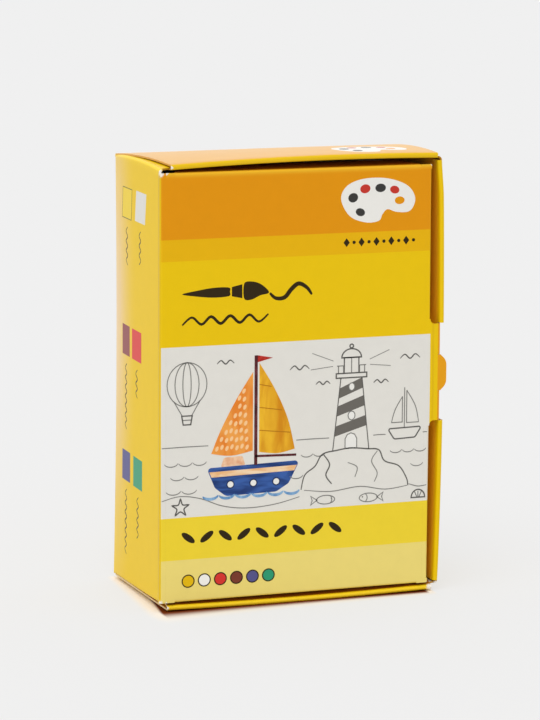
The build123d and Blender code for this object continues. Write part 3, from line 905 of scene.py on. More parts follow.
# Folds between the lid and its flaps, as strips of their own. A fold turns within its reach, less the board's
# thickness
foldSteps = spread(0, foldLength, foldLength / crease["steps"])
lengthSteps = spread(lidBottom, lidTop, lid["step"])


def creaseStrip(name, outline, place, plate, uCuts, vCuts, creases, worn=()):
    strip = cutSheet(
        name, [outline], place, lidBoard, uCuts=uCuts, vCuts=vCuts, plate=plate, worn=worn, creases=creases)
    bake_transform(strip)


def rectangle(uLow, vLow, uHigh, vHigh):
    return [(uLow, vLow), (uHigh, vLow), (uHigh, vHigh), (uLow, vHigh)]


creaseHalf = foldLength / 2
endCuts = [lidTop - cut for cut in crease["endCuts"]] + [lidBottom + cut for cut in crease["endCuts"]]
creaseStrip(
    "lid_crease", rectangle(0, lidBottom, foldLength, lidTop), lidCreasePlace,
    lambda u, v: (left + fold["reach"] - foldLength + u, v),
    foldSteps, lengthSteps + endCuts, [(0, creaseHalf, *crease["lid"])],
    worn=[(creaseHalf, lidTop, crease["worn"][0]), (creaseHalf, lidBottom, crease["worn"][1])])
for name, low, high in [("lower", tuckBottom, reliefLow), ("upper", reliefHigh, tuckTop)]:
    creaseStrip(
        f"{name}_tuck_crease", rectangle(0, low, foldLength, high), tuckCreasePlace,
        lambda u, v: (lidEdge - fold["reach"] + u, v),
        foldSteps, spread(low, high, lid["step"]), [(0, creaseHalf, *crease["tuck"])])
for end, place, edge, sign in [("top", topCreasePlace, lidTop, 1), ("bottom", lowCreasePlace, lidBottom, -1)]:
    creaseStrip(
        f"{end}_dust_crease", rectangle(dust["left"], 0, dust["right"], foldLength), place,
        lambda u, v: (u, edge + sign * (v - fold["reach"])),
        spread(dust["left"], dust["right"], lid["step"]), foldSteps, [(1, creaseHalf, *crease[end])])
print("lid ready")


# Shapes are outlines in millimetres on the sheet; a stroke is a chain of four-cornered outlines
def oval(x, y, radiusX, radiusY, start=0, turn=360, steps=24, lean=0):
    points = []
    for i in range(steps + (turn < 360)):
        angle = math.radians(start + turn * i / steps)
        across, up = radiusX * math.cos(angle), radiusY * math.sin(angle)
        tilt = math.radians(lean)
        points.append((x + across * math.cos(tilt) - up * math.sin(tilt),
                       y + across * math.sin(tilt) + up * math.cos(tilt)))
    return points


# Smooth line through given points
def flowing(points, closed=False, steps=6):
    line = []
    count = len(points)
    last = count if closed else count - 1
    for i in range(last):
        if closed:
            a, b, c, d = (Vector(points[(i + k) % count]) for k in (-1, 0, 1, 2))
        else:
            a, b, c, d = (Vector(points[min(count - 1, max(0, i + k))]) for k in (-1, 0, 1, 2))
        for k in range(steps):
            t = k / steps
            line.append(0.5 * (2 * b + (c - a) * t + (2 * a - 5 * b + 4 * c - d) * t * t
                               + (3 * b - a - 3 * c + d) * t ** 3))
    if not closed:
        line.append(Vector(points[-1]))
    return line


# A stroke's corners are mitred no further than mitre allows. swell says how soon a tapered one is full
brushwork = {"mitre": 0.5, "swell": 0.6}


def stroke(points, width, closed=False, taper=0.0):
    line = [Vector(point) for point in points]
    count = len(line)
    sides = []
    for i, point in enumerate(line):
        before = line[i - 1] if i or closed else None
        after = line[(i + 1) % count] if i < count - 1 or closed else None
        ways = [(point - before).normalized()] if before is not None else []
        ways += [(after - point).normalized()] if after is not None else []
        along = sum(ways, Vector((0, 0))).normalized()
        across = Vector((-along.y, along.x))
        mitre = max(brushwork["mitre"], abs(across.dot(Vector((-ways[0].y, ways[0].x)))))
        share = i / (count - 1)
        swell = 1 - taper * (1 - math.sin(math.pi * share) ** brushwork["swell"])
        aside = across * width * swell / 2 / mitre
        sides.append((point + aside, point - aside))
    ends = [(i, (i + 1) % count) for i in range(count if closed else count - 1)]
    return [[sides[i][0], sides[i][1], sides[k][1], sides[k][0]] for i, k in ends]


def moved(shapes, x, y, scaleX=1.0, scaleY=1.0):
    return [[(x + point[0] * scaleX, y + point[1] * scaleY) for point in shape] for shape in shapes]


# Ink lies a hair above the board, so that it covers what is printed under it, and reaches down into it
ink = {"proud": 0.015, "thickness": 1.5}


def printInk(name, body, shapes, place, material, layer=1, uCuts=(), vCuts=()):
    proud = ink["proud"] * layer
    piece = cutSheet(
        name, shapes, place, [material], uCuts=uCuts, vCuts=vCuts, thickness=proud * ink["thickness"],
        proud=proud)
    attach(piece, body)


darkInk = printedBoard("dark_brown_ink", inks["dark"])
lineInk = printedBoard("grey_line_ink", inks["line"])
charcoalInk = printedBoard("charcoal_ink", inks["charcoal"])
whiteInk = printedBoard("unprinted_white", inks["white"])
redInk = printedBoard("red_ink", inks["red"])
orangeInk = printedBoard("orange_ink", inks["orange"])

# Patches on the hinge wall, one for each jar: depth, height, width, how far the top leans to the front,
# turns of the squiggle brushed below it, and colour
patch = {
    "height": 8.0, "line": 0.2, "frame": "6E641F", "gap": 2.2, "step": 2.0,
    "squiggle": 0.42, "swing": 0.7, "turns": 1.25, "taper": 0.5, "squiggleStep": 4.0,
}
patches = {
    "yellow": (28.7, 102.5, 8.2, 0.4, 9, "F0D024"), "white": (16.6, 102.8, 8.8, 0.65, 8, "DEDCD6"),
    "brown": (30.0, 66.3, 6.6, 0.0, 15, "93494A"), "red": (20.3, 66.3, 8.4, 0.0, 7, "DC3632"),
    "violet": (29.5, 32.8, 7.0, 0.0, 15, "56558A"), "green": (19.2, 32.7, 7.8, 0.0, 10, "2E9A72"),
}
patchCuts = {"uCuts": spread(0, depth, patch["step"]), "vCuts": spread(0, top, patch["step"])}
for colour, (deep, height, width, lean, turns, shade) in patches.items():
    halfWide = width / 2
    low = height - patch["height"] / 2
    high = height + patch["height"] / 2
    start = low - patch["gap"]
    squiggle = flowing([
        (deep + lean + (patch["swing"] if i % 2 else -patch["swing"]), start - i * patch["turns"])
        for i in range(turns)])
    printInk(
        f"{colour}_squiggle", "tray", stroke(squiggle, patch["squiggle"], taper=patch["taper"]), hingePlace,
        darkInk, uCuts=spread(0, depth, patch["squiggleStep"]))
    square = [(deep - halfWide + lean, low), (deep + halfWide + lean, low),
              (deep + halfWide - lean, high), (deep - halfWide - lean, high)]
    patchInk = printedBoard(f"{colour}_patch_ink", shade)
    printInk(f"{colour}_patch", "tray", [square], hingePlace, patchInk, **patchCuts)
    if colour == "yellow":
        printInk(
            "yellow_patch_frame", "tray", stroke(square, patch["line"], closed=True), hingePlace,
            printedBoard("olive_line_ink", patch["frame"]), layer=2, **patchCuts)

# Painter's palette in white, with a thumb hole and dabs, on the lid and on the upper end wall
palette = {"lid": (20.2, 104.65), "top": (22.1, foldDepth - 11.2, 0.97, -1.28), "topStep": 2.0}
paletteOutline = flowing([
    (-10.2, 0.6), (-8.6, 4.0), (-4.0, 5.7), (2.5, 5.6), (8.0, 3.6), (10.2, 0.2), (8.8, -3.0), (5.2, -3.2),
    (2.6, -2.4), (1.2, -3.6), (0.2, -5.3), (-3.4, -5.6), (-7.8, -3.8)], closed=True)
paletteHole = oval(5.9, -0.2, 1.35, 1.0)
darkDabs = [
    oval(-6.9, 0.9, 1.35, 1.2, lean=20), oval(0.6, 3.2, 1.45, 1.1), oval(-4.9, -2.9, 1.3, 1.0, lean=-20)]
redDabs = [oval(-3.6, 3.1, 1.4, 1.15, lean=10), oval(4.5, 2.6, 1.3, 1.0, lean=-15)]


# at is the palette's middle on the sheet, and its scale both ways if that isn't 1. The upper wall's
# sheet runs towards the viewer, so the palette is turned over there
def printPalette(name, body, place, at, cuts=()):
    for part, shapes, material, layer in [
            ("sheet", [paletteOutline], whiteInk, 1), ("hole", [paletteHole], orangeInk, 2),
            ("dark_dabs", darkDabs, charcoalInk, 2), ("red_dabs", redDabs, redInk, 2)]:
        printInk(
            f"{name}_{part}", body, moved(shapes, *at), place, material, layer=layer, uCuts=cuts, vCuts=cuts)


printPalette("lid_palette", "lid", lidPlace, palette["lid"])
printPalette("top_palette", "tray", topPlace, palette["top"], spread(0, foldDepth, palette["topStep"]))

# A brush that paints a wave, with a thinner wave below it
waveLines = {"wave": 1.15, "waveTaper": 0.6, "under": 0.75, "underTaper": 0.5}  # widths, and how they taper
underLine = {"start": -32.6, "step": 2.56, "height": 75.6, "swing": 0.95, "turns": 10}
handle = flowing([(-32.6, 82.6), (-29.0, 83.3), (-24.4, 83.9), (-20.2, 83.8), (-19.9, 82.7), (-20.2, 81.6),
                  (-24.4, 81.4), (-29.0, 81.9)], closed=True)
ferrule = [(-19.4, 83.9), (-16.6, 84.5), (-16.6, 80.9), (-19.4, 81.5)]
bristles = flowing([(-16.1, 84.6), (-14.2, 85.1), (-11.6, 84.3), (-9.4, 82.1), (-11.8, 81.4), (-14.2, 80.4),
                    (-16.1, 80.8)], closed=True)
wave = flowing([
    (-9.2, 81.9), (-7.6, 80.5), (-5.2, 80.6), (-3.4, 82.6), (-1.4, 84.0), (0.8, 82.9), (2.2, 81.0)])
underWave = flowing([
    (underLine["start"] + i * underLine["step"],
     underLine["height"] + (underLine["swing"] if i % 2 else -underLine["swing"]))
    for i in range(underLine["turns"])])
waves = (stroke(wave, waveLines["wave"], taper=waveLines["waveTaper"])
         + stroke(underWave, waveLines["under"], taper=waveLines["underTaper"]))
printInk("title_brush", "lid", [handle, ferrule, bristles], lidPlace, darkInk)
printInk("title_waves", "lid", waves, lidPlace, darkInk)

# Diamonds and dots below the palette
beads = {
    "start": 11.6, "step": 2.05, "count": 10, "height": 94.0, "dot": 0.45, "diamond": (0.85, 1.15),
}
halfAcross, halfUp = beads["diamond"]
beadShapes = []
for i in range(beads["count"]):
    x = beads["start"] + i * beads["step"]
    if i % 2:
        beadShapes.append(oval(x, beads["height"], beads["dot"], beads["dot"], steps=12))
    else:
        beadShapes.append([
            (x - halfAcross, beads["height"]), (x, beads["height"] - halfUp),
            (x + halfAcross, beads["height"]), (x, beads["height"] + halfUp)])
printInk("bead_row", "lid", beadShapes, lidPlace, darkInk)

# A row of brush dabs below the picture, and one dot for each colour below them
dabs = {"count": 9, "start": -30.9, "step": 5.0, "height": 19.3, "long": 2.15, "wide": 0.85, "lean": 38}
dabShapes = []
for i in range(dabs["count"]):
    x = dabs["start"] + i * dabs["step"]
    lean = dabs["lean"] if i % 2 else -dabs["lean"]
    dabShapes.append(oval(x, dabs["height"], dabs["long"], dabs["wide"], lean=lean))
printInk("dab_row", "lid", dabShapes, lidPlace, darkInk)
dots = {"start": -30.9, "step": 4.35, "height": 7.9, "radius": 1.6, "ring": 0.3}
dotColours = ["E5B900", "F4F2EC", "D8352E", "7A3B2A", "56558A", "2E9A72"]
for i, shade in enumerate(dotColours):
    spot = oval(dots["start"] + i * dots["step"], dots["height"], dots["radius"], dots["radius"], steps=32)
    ring = stroke(spot, dots["ring"], closed=True)
    printInk(f"colour_dot_{i + 1}", "lid", [spot], lidPlace, printedBoard(f"dot_ink_{i + 1}", shade))
    printInk(f"colour_dot_{i + 1}_ring", "lid", ring, lidPlace, darkInk, layer=2)
print("small prints ready")

# The picture is a seaside page to be coloured in, with one boat already painted. Its places are in
# millimetres from the picture's lower left corner
page = {"x": layout["left"], "z": layout["pictureLow"], "fine": 0.25, "bold": 0.34}
pageInks = {
    "fill": "6C6862", "bold": "5E5C58", "stitch": "FBCB92", "seam": "B4740E", "ring": "1B2C55",
    "splash": "8DB4D6", "splashMarks": "5C8CBD",
}
fineLines = []
boldLines = []
greyFills = []


def draw(name, shapes, material, layer=1):
    printInk(f"page_{name}", "lid", moved(shapes, page["x"], page["z"]), lidPlace, material, layer=layer)


def fine(points, closed=False, taper=0.3):
    fineLines.extend(stroke(points, page["fine"], closed, 0.0 if closed else taper))


def bold(points, closed=False, taper=0.25):
    boldLines.extend(stroke(points, page["bold"], closed, 0.0 if closed else taper))


# Horizon, sand and waves
for start, end in [(0.2, 12.6), (36.4, 45.4), (57.6, 61.0), (71.4, 72.6)]:
    fine([(start, 18.4), ((start + end) / 2, 18.45), (end, 18.4)], taper=0.1)
fine(flowing([(0.2, 4.6), (5.0, 5.6), (10.6, 4.7), (16.4, 2.4), (23.0, 1.4), (30.8, 1.9), (37.4, 3.4)]))
fine(flowing([(67.6, 4.8), (70.2, 4.0), (72.6, 4.2)]))
for height, start, count, size in [
        (14.6, 0.8, 3, 1.9), (11.0, 2.4, 2, 1.9), (14.8, 37.6, 2, 1.7), (9.4, 34.6, 1, 1.9),
        (14.4, 62.2, 3, 1.7), (10.6, 68.0, 1, 1.8), (7.4, 1.2, 2, 2.1)]:
    for i in range(count):
        middle = start + size * (2 * i + 1)
        fine(oval(middle, height, size, 0.62 * size, start=200, turn=145, steps=10), taper=0.5)

# Lighthouse with slanted bands, on a rock
tower = {"x": 51.4, "low": 14.8, "high": 34.0, "lowHalf": 5.0, "highHalf": 2.9, "slant": 2.6, "band": 2.7}


def towerHalf(height):
    share = (height - tower["low"]) / (tower["high"] - tower["low"])
    return tower["lowHalf"] + (tower["highHalf"] - tower["lowHalf"]) * share


for start in (18.6, 23.9, 28.6):
    rise = start + tower["slant"]
    greyFills.append([
        (tower["x"] - towerHalf(start), start), (tower["x"] + towerHalf(rise), rise),
        (tower["x"] + towerHalf(rise + tower["band"]), rise + tower["band"]),
        (tower["x"] - towerHalf(start + tower["band"]), start + tower["band"])])
for side in (-1, 1):
    bold([(tower["x"] + side * tower["lowHalf"], tower["low"]),
          (tower["x"] + side * tower["highHalf"], tower["high"])])
bold([(47.2, 34.0), (55.6, 34.0), (55.6, 35.2), (47.2, 35.2)], closed=True)
for x in (47.8, 49.2, 53.6, 55.0):
    fine([(x, 35.2), (x, 37.2)], taper=0.0)
fine([(47.4, 37.2), (49.2, 37.2)], taper=0.0)
fine([(53.6, 37.2), (55.4, 37.2)], taper=0.0)
bold([(49.4, 35.2), (49.4, 39.3), (53.4, 39.3), (53.4, 35.2)])
fine([(51.4, 35.4), (51.4, 39.2)], taper=0.0)
bold(oval(51.4, 39.3, 2.7, 2.3, turn=180, steps=14), closed=True)
bold(oval(51.4, 42.3, 0.5, 0.5, steps=10), closed=True)
for ray in (
        [(46.4, 38.6), (40.6, 40.9)], [(46.3, 37.2), (40.2, 36.6)],
        [(56.4, 38.6), (61.8, 40.8)], [(56.5, 37.2), (62.2, 36.6)]):
    fine(ray)
bold(flowing([(37.8, 5.2), (38.8, 9.0), (41.6, 11.2), (43.6, 14.2), (47.6, 15.0), (51.4, 15.4), (56.0, 14.9),
              (59.2, 14.4), (60.8, 11.4), (64.8, 9.8), (67.0, 6.4), (67.4, 4.4)]))
bold(flowing([(44.0, 14.0), (45.6, 11.4), (44.6, 8.6), (46.2, 6.2)]))
fine(flowing([(58.8, 14.2), (57.2, 11.6), (58.8, 8.4), (58.0, 6.0)]))
fine(flowing([(50.6, 11.6), (53.2, 10.2), (52.6, 7.6)]))
fine(flowing([(38.6, 5.0), (46.0, 4.2), (54.0, 5.0), (61.0, 3.8), (67.2, 4.4)]))
door = [(49.8, 15.2), (49.8, 17.9), (50.4, 19.0), (51.4, 19.4), (52.4, 19.0), (53.0, 17.9), (53.0, 15.2)]
windows = [oval(51.5, 24.0, 0.95, 1.15, steps=16), oval(51.5, 31.6, 0.8, 1.0, steps=16)]
doorLines = stroke(door, page["fine"])
for window in windows:
    doorLines += stroke(window, page["fine"], closed=True)
draw("door", [door], whiteInk, layer=2)
draw("windows", windows, whiteInk, layer=2)
draw("door_lines", doorLines, lineInk, layer=3)

# Balloon, gulls and a far boat
for radius in (5.3, 3.2, 1.1):
    fine(oval(6.9, 34.6, radius, 5.7, steps=32), closed=True)
fine([(3.4, 30.4), (5.6, 26.6)], taper=0.0)
fine([(10.4, 30.4), (8.2, 26.6)], taper=0.0)
bold([(5.5, 26.5), (8.3, 26.5), (7.9, 24.2), (5.9, 24.2)], closed=True)
fine([(5.7, 25.4), (8.1, 25.4)], taper=0.0)
for x, height, size in [
        (17.2, 39.4, 1.0), (37.2, 36.8, 1.15), (43.6, 32.6, 0.85), (59.6, 32.2, 0.9), (67.6, 38.2, 1.2)]:
    bold(flowing([
        (x - 2.3 * size, height + 0.1), (x - 1.2 * size, height + 0.95 * size), (x, height),
        (x + 1.2 * size, height + 0.95 * size), (x + 2.3 * size, height + 0.1)]), taper=0.6)
bold(rounded([(61.6, 19.8), (71.0, 20.0), (69.2, 17.2), (63.4, 17.0)], [0.4, 0.4, 0.8, 0.8]), closed=True)
fine([(66.2, 20.0), (66.2, 30.6)], taper=0.0)
fine(flowing([(66.8, 29.8), (69.2, 25.6), (70.2, 21.2)]))
fine([(66.8, 29.8), (66.8, 21.2), (70.2, 21.2)], taper=0.0)
fine(flowing([(65.6, 28.2), (63.6, 24.8), (62.6, 21.4)]))
fine([(65.6, 28.2), (65.6, 21.4), (62.6, 21.4)], taper=0.0)

# Two fish, a starfish and a shell
for x, height, way in [(56.4, 1.9, 1), (44.6, 2.1, -1)]:
    fine(oval(x, height, 2.5, 1.15, steps=24), closed=True)
    fine([(x + way * 2.4, height), (x + way * 4.1, height + 1.15), (x + way * 3.7, height),
          (x + way * 4.1, height - 1.15)], closed=True)
    fine(oval(x - way * 1.0, height, 0.7, 1.0, start=-70, turn=140, steps=8))
    greyFills.append(oval(x - way * 1.6, height + 0.25, 0.2, 0.2, steps=8))
arms = [(math.radians(90 + 36 * i), 1.0 if i % 2 else 2.3) for i in range(10)]
star = [(5.2 + reach * math.cos(turn), 2.6 + reach * math.sin(turn)) for turn, reach in arms]
bold(flowing(star, closed=True, steps=4), closed=True)
bold(oval(70.3, 1.0, 1.9, 2.1, turn=180, steps=14), closed=True)
for lean in (-1.0, 0.0, 1.0):
    fine([(70.3 + 0.3 * lean, 1.1), (70.3 + lean, 2.7)], taper=0.0)
draw("grey_fills", greyFills, printedBoard("pencil_grey_ink", pageInks["fill"]))
draw("fine_lines", fineLines, lineInk, layer=2)
draw("bold_lines", boldLines, printedBoard("dark_grey_line_ink", pageInks["bold"]), layer=2)

# The painted boat: every colour shows the brush marks of a second one. A paint is its outlines, both
# colours, the marks' size along X and along Y, and its layer
mainsail = ([(26.3, 39.2)] + flowing([(26.3, 39.2), (30.4, 32.4), (34.0, 24.4), (36.0, 16.2)])[1:]
            + flowing([(36.0, 16.2), (31.4, 15.3), (26.3, 15.9)])[1:])
jib = (flowing([(24.6, 37.0), (20.2, 30.2), (16.0, 22.4), (13.4, 16.2)])
       + flowing([(13.4, 16.2), (18.8, 15.4), (24.6, 16.4)])[1:])
hull = rounded(
    [(12.2, 12.5), (37.4, 13.1), (34.4, 7.2), (31.0, 5.2), (17.4, 4.9), (14.4, 7.2)], [0.8, 0.8, 2, 2, 2, 2])
hullBand = [(12.9, 11.4), (36.6, 11.9), (35.9, 10.5), (13.5, 10.0)]
cabin = rounded([(16.0, 12.6), (22.6, 12.8), (21.8, 15.2), (16.8, 15.0)], [0.3, 0.3, 0.6, 0.6])
spars = stroke([(25.4, 12.6), (25.4, 41.2)], 0.85) + stroke([(25.2, 14.9), (36.4, 14.6)], 0.6)
paints = {
    "mainsail": ([mainsail], "F0B92B", "D58B12", 3.57, 14.3, 1),
    "jib": ([jib], "F3A44C", "E8822A", 3.33, 8.33, 1),
    "hull": ([hull], "3A5FA6", "213A72", 8.33, 2.0, 1),
    "hull_band": ([hullBand], "F6D9B4", "EDB77E", 5.0, 1.25, 2),
    "cabin": ([cabin], "F3CBA6", "E5A57C", 2.0, 2.0, 2),
    "mast": (spars, "6B3034", "41191D", 1.25, 3.33, 3),
    "pennant": ([[(25.8, 41.2), (29.9, 40.4), (25.8, 39.4)]], "C9382D", "9F2219", 2.0, 2.0, 3),
}
for name, (shapes, light, dark, along, across, layer) in paints.items():
    paint = printedBoard(f"painted_{name}", light, painted=(dark, along, across))
    draw(f"boat_{name}", shapes, paint, layer=layer)
# Rows of stitches on the jib, each shorter than the one below it
stitch = {
    "rows": 8, "low": 17.4, "rise": 2.1, "edge": 24.0, "foot": 16.2, "rake": 0.06, "inset": 0.9,
    "row": 9.6, "shorter": 1.12, "step": 1.35, "stagger": 0.35, "size": (0.42, 0.72), "lean": -24,
}
stitches = []
for row in range(stitch["rows"]):
    height = stitch["low"] + stitch["rise"] * row
    edge = stitch["edge"] - (height - stitch["foot"]) * stitch["rake"] - stitch["inset"]
    for i in range(int((stitch["row"] - stitch["shorter"] * row) / stitch["step"])):
        stitches.append(oval(
            edge - i * stitch["step"], height + stitch["stagger"] * (i % 2), *stitch["size"], steps=10,
            lean=stitch["lean"]))
draw("boat_stitches", stitches, printedBoard("pale_orange_ink", pageInks["stitch"]), layer=2)
seams = []
for ends in ([(26.3, 33.6), (29.6, 32.9)], [(26.3, 27.6), (32.5, 26.6)], [(26.3, 21.6), (34.8, 20.6)]):
    seams += stroke(flowing(ends), 0.22)
draw("boat_seams", seams, printedBoard("ochre_line_ink", pageInks["seam"]), layer=2)
portholes = [oval(x, 7.9, 0.95, 0.95, steps=18) for x in (18.6, 24.8, 31.0)]
rings = [shape for porthole in portholes for shape in stroke(porthole, 0.28, closed=True)]
draw("boat_portholes", portholes, whiteInk, layer=2)
draw("boat_rings", rings, printedBoard("navy_line_ink", pageInks["ring"]), layer=3)
splash = []
for x in (11.0, 15.4, 19.8, 24.2, 28.6, 33.0):
    splash += stroke(oval(x + 2.2, 5.6, 2.2, 1.25, start=200, turn=145, steps=10), 0.75, taper=0.7)
splashPaint = printedBoard(
    "painted_splash", pageInks["splash"], painted=(pageInks["splashMarks"], 1.67, 3.33))
draw("boat_splash", splash, splashPaint, layer=3)
print("picture ready")


# The jars keep their solids and get their materials here, each with a grain of its own size
def grainedMaterial(name, size, detail=3.0):
    material = newMaterial(name)
    place = addNode(material, "ShaderNodeTexCoord")
    grain = addNode(material, "ShaderNodeTexNoise", {
        "Vector": place.outputs["Object"], "Scale": 1 / (size * mm), "Detail": detail, "Roughness": 0.6})
    return material, grain


# Injection-moulded polystyrene: clear and hard, with a faint ripple from the cold mould
polystyrene = {
    "tone": "F3F7F6", "roughness": 0.05, "ior": 1.59, "ripple": 11.1, "depth": 0.05, "strength": 0.25,
}
clear, ripple = grainedMaterial("clear_polystyrene", polystyrene["ripple"])
clearBump = addNode(clear, "ShaderNodeBump", {
    "Strength": polystyrene["strength"], "Distance": polystyrene["depth"] * mm,
    "Height": ripple.outputs["Fac"]})
clearShader = addNode(clear, "ShaderNodeBsdfPrincipled", {
    "Base Color": toLinear(polystyrene["tone"]), "Roughness": polystyrene["roughness"],
    "IOR": polystyrene["ior"], "Transmission Weight": 1.0, "Normal": clearBump.outputs["Normal"]})
addNode(clear, "ShaderNodeOutputMaterial", {"Surface": clearShader.outputs["BSDF"]})

# Closed-cell foam disc: white and dull, pitted by its cells
foamed = {"tone": "ECECE8", "roughness": 0.9, "cell": 0.556, "depth": 0.08, "strength": 0.6}
foam, cells = grainedMaterial("foam_liner", foamed["cell"])
foamBump = addNode(foam, "ShaderNodeBump", {
    "Strength": foamed["strength"], "Distance": foamed["depth"] * mm, "Height": cells.outputs["Fac"]})
foamShader = addNode(foam, "ShaderNodeBsdfPrincipled", {
    "Base Color": toLinear(foamed["tone"]), "Roughness": foamed["roughness"],
    "Normal": foamBump.outputs["Normal"]})
addNode(foam, "ShaderNodeOutputMaterial", {"Surface": foamShader.outputs["BSDF"]})

# Polypropylene cap: satin, a little waxy, its tone uneven by a few percent
polypropylene = {
    "grain": 3.85, "tone": (0.96, 1.04), "roughness": (0.3, 0.42), "ior": 1.49, "depth": 0.03,
    "strength": 0.3, "waxy": 0.12, "waxyColour": (1.0, 0.9, 0.8), "waxyDepth": 0.5,
}


def capPlastic(colour, shade):
    material, grain = grainedMaterial(f"{colour}_polypropylene", polypropylene["grain"])
    tone = addNode(material, "ShaderNodeMapRange", {
        "Value": grain.outputs["Fac"], **noiseRange,
        "To Min": polypropylene["tone"][0], "To Max": polypropylene["tone"][1]})
    tinted = addNode(material, "ShaderNodeMix", {
        "Factor": 1.0, "A": toLinear(shade), "B": tone.outputs["Result"]},
        data_type="RGBA", blend_type="MULTIPLY")
    satin = addNode(material, "ShaderNodeMapRange", {
        "Value": grain.outputs["Fac"], **noiseRange,
        "To Min": polypropylene["roughness"][0], "To Max": polypropylene["roughness"][1]})
    bump = addNode(material, "ShaderNodeBump", {
        "Strength": polypropylene["strength"], "Distance": polypropylene["depth"] * mm,
        "Height": grain.outputs["Fac"]})
    shader = addNode(material, "ShaderNodeBsdfPrincipled", {
        "Base Color": tinted.outputs["Result"], "Roughness": satin.outputs["Result"],
        "IOR": polypropylene["ior"], "Subsurface Weight": polypropylene["waxy"],
        "Subsurface Radius": polypropylene["waxyColour"],
        "Subsurface Scale": polypropylene["waxyDepth"] * mm, "Normal": bump.outputs["Normal"]})
    addNode(material, "ShaderNodeOutputMaterial", {"Surface": shader.outputs["BSDF"]})
    return material


# Gouache: opaque and matte, settled with low lumps, wetter and shinier in its hollows
settledPaint = {
    "lump": 6.25, "tone": (0.9, 1.06), "roughness": (0.4, 0.75), "wetFrom": (0.35, 0.6), "depth": 0.25,
    "strength": 0.6,
}


def gouache(colour, shade):
    material, grain = grainedMaterial(f"{colour}_gouache_paint", settledPaint["lump"], detail=5.0)
    tone = addNode(material, "ShaderNodeMapRange", {
        "Value": grain.outputs["Fac"], **noiseRange,
        "To Min": settledPaint["tone"][0], "To Max": settledPaint["tone"][1]})
    tinted = addNode(material, "ShaderNodeMix", {
        "Factor": 1.0, "A": toLinear(shade), "B": tone.outputs["Result"]},
        data_type="RGBA", blend_type="MULTIPLY")
    wet = addNode(material, "ShaderNodeMapRange", {
        "Value": grain.outputs["Fac"],
        "From Min": settledPaint["wetFrom"][0], "From Max": settledPaint["wetFrom"][1],
        "To Min": settledPaint["roughness"][0], "To Max": settledPaint["roughness"][1]})
    bump = addNode(material, "ShaderNodeBump", {
        "Strength": settledPaint["strength"], "Distance": settledPaint["depth"] * mm,
        "Height": grain.outputs["Fac"]})
    shader = addNode(material, "ShaderNodeBsdfPrincipled", {
        "Base Color": tinted.outputs["Result"], "Roughness": wet.outputs["Result"],
        "Normal": bump.outputs["Normal"]})
    addNode(material, "ShaderNodeOutputMaterial", {"Surface": shader.outputs["BSDF"]})
    return material


jarShades = {
    "yellow": "EDC31C", "white": "F1EFEA", "brown": "6A3626", "red": "CF2A24", "violet": "40386F",
    "green": "12805A",
}
for colour, shade in jarShades.items():
    for node, material in [("jar", clear), ("liner", foam), ("cap", capPlastic(colour, shade)),
                           ("paint", gouache(colour, shade))]:
        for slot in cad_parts[f"{colour}_{node}"].material_slots:
            slot.material = material
print("jars ready")

# Floor, a sheet of paper
floorHalf = 6  # metres
floorMesh = bpy.data.meshes.new("floor")
floorMesh.from_pydata([
    (-floorHalf, -floorHalf, 0), (floorHalf, -floorHalf, 0), (floorHalf, floorHalf, 0),
    (-floorHalf, floorHalf, 0)], [], [(0, 1, 2, 3)])
floor = bpy.data.objects.new("floor", floorMesh)
bpy.context.scene.collection.objects.link(floor)
# White backdrop paper, matte: lit near the box, where its shadow falls, and self-lit further out, evenly
# white. Near the box its warm tone is painted bounce light from the print. The two numbers of a side say
# how much faster the shadow ends there, from one end of the side to the other: it reaches far in front of
# the left corner and hardly to the right. Close to the box's front a dark red-brown painted shadow darkens
# it, further round the left corner than the right one
halo = {
    "lit": "F6ECDF", "unlit": "7A7A7A", "glow": 0.64, "roughness": 0.9, "shadowFar": 4.4 * mm,
    "front": (0.36, 1.03), "left": (1.0, 1.8), "right": (4.0, 4.0), "behind": (2.0, 2.0),
    "rightInset": 1.8 * mm, "tint": "7A3A16", "tintFar": 2.6 * mm, "tintSide": 2.6, "tintBehind": 8.0,
    "tintLeft": (0.9 * mm, 3.0 * mm), "tintLeftOver": 18 * mm, "tintRight": 3.4 * mm,
}
sideAt = right * mm
frontAt = depth / 2 * mm
paper = newMaterial("white_backdrop_paper")
paperPlace = addNode(paper, "ShaderNodeTexCoord")
paperParts = addNode(paper, "ShaderNodeSeparateXYZ", {"Vector": paperPlace.outputs["Object"]})
# How far a spot lies past each side of the box, as the shadow counts it
past = {}
for side, way, sign, edge, along, half in [
        ("front", "Y", -1.0, frontAt, "X", sideAt), ("left", "X", -1.0, sideAt, "Y", frontAt),
        ("right", "X", 1.0, sideAt - halo["rightInset"], "Y", frontAt),
        ("behind", "Y", 1.0, frontAt, "X", sideAt)]:
    beyond = addNode(paper, "ShaderNodeMath", {
        0: paperParts.outputs[way], 1: sign, 2: -edge}, operation="MULTIPLY_ADD")
    outside = addNode(paper, "ShaderNodeMath", {0: beyond.outputs["Value"], 1: 0.0}, operation="MAXIMUM")
    pace = addNode(paper, "ShaderNodeMapRange", {
        "Value": paperParts.outputs[along], "From Min": -half, "From Max": half,
        "To Min": halo[side][0], "To Max": halo[side][1]})
    past[side] = addNode(paper, "ShaderNodeMath", {
        0: outside.outputs["Value"], 1: pace.outputs["Result"]}, operation="MULTIPLY").outputs["Value"]
shadowAcross = addNode(paper, "ShaderNodeMath", {0: past["left"], 1: past["right"]}, operation="ADD")
shadowAlong = addNode(paper, "ShaderNodeMath", {0: past["front"], 1: past["behind"]}, operation="ADD")
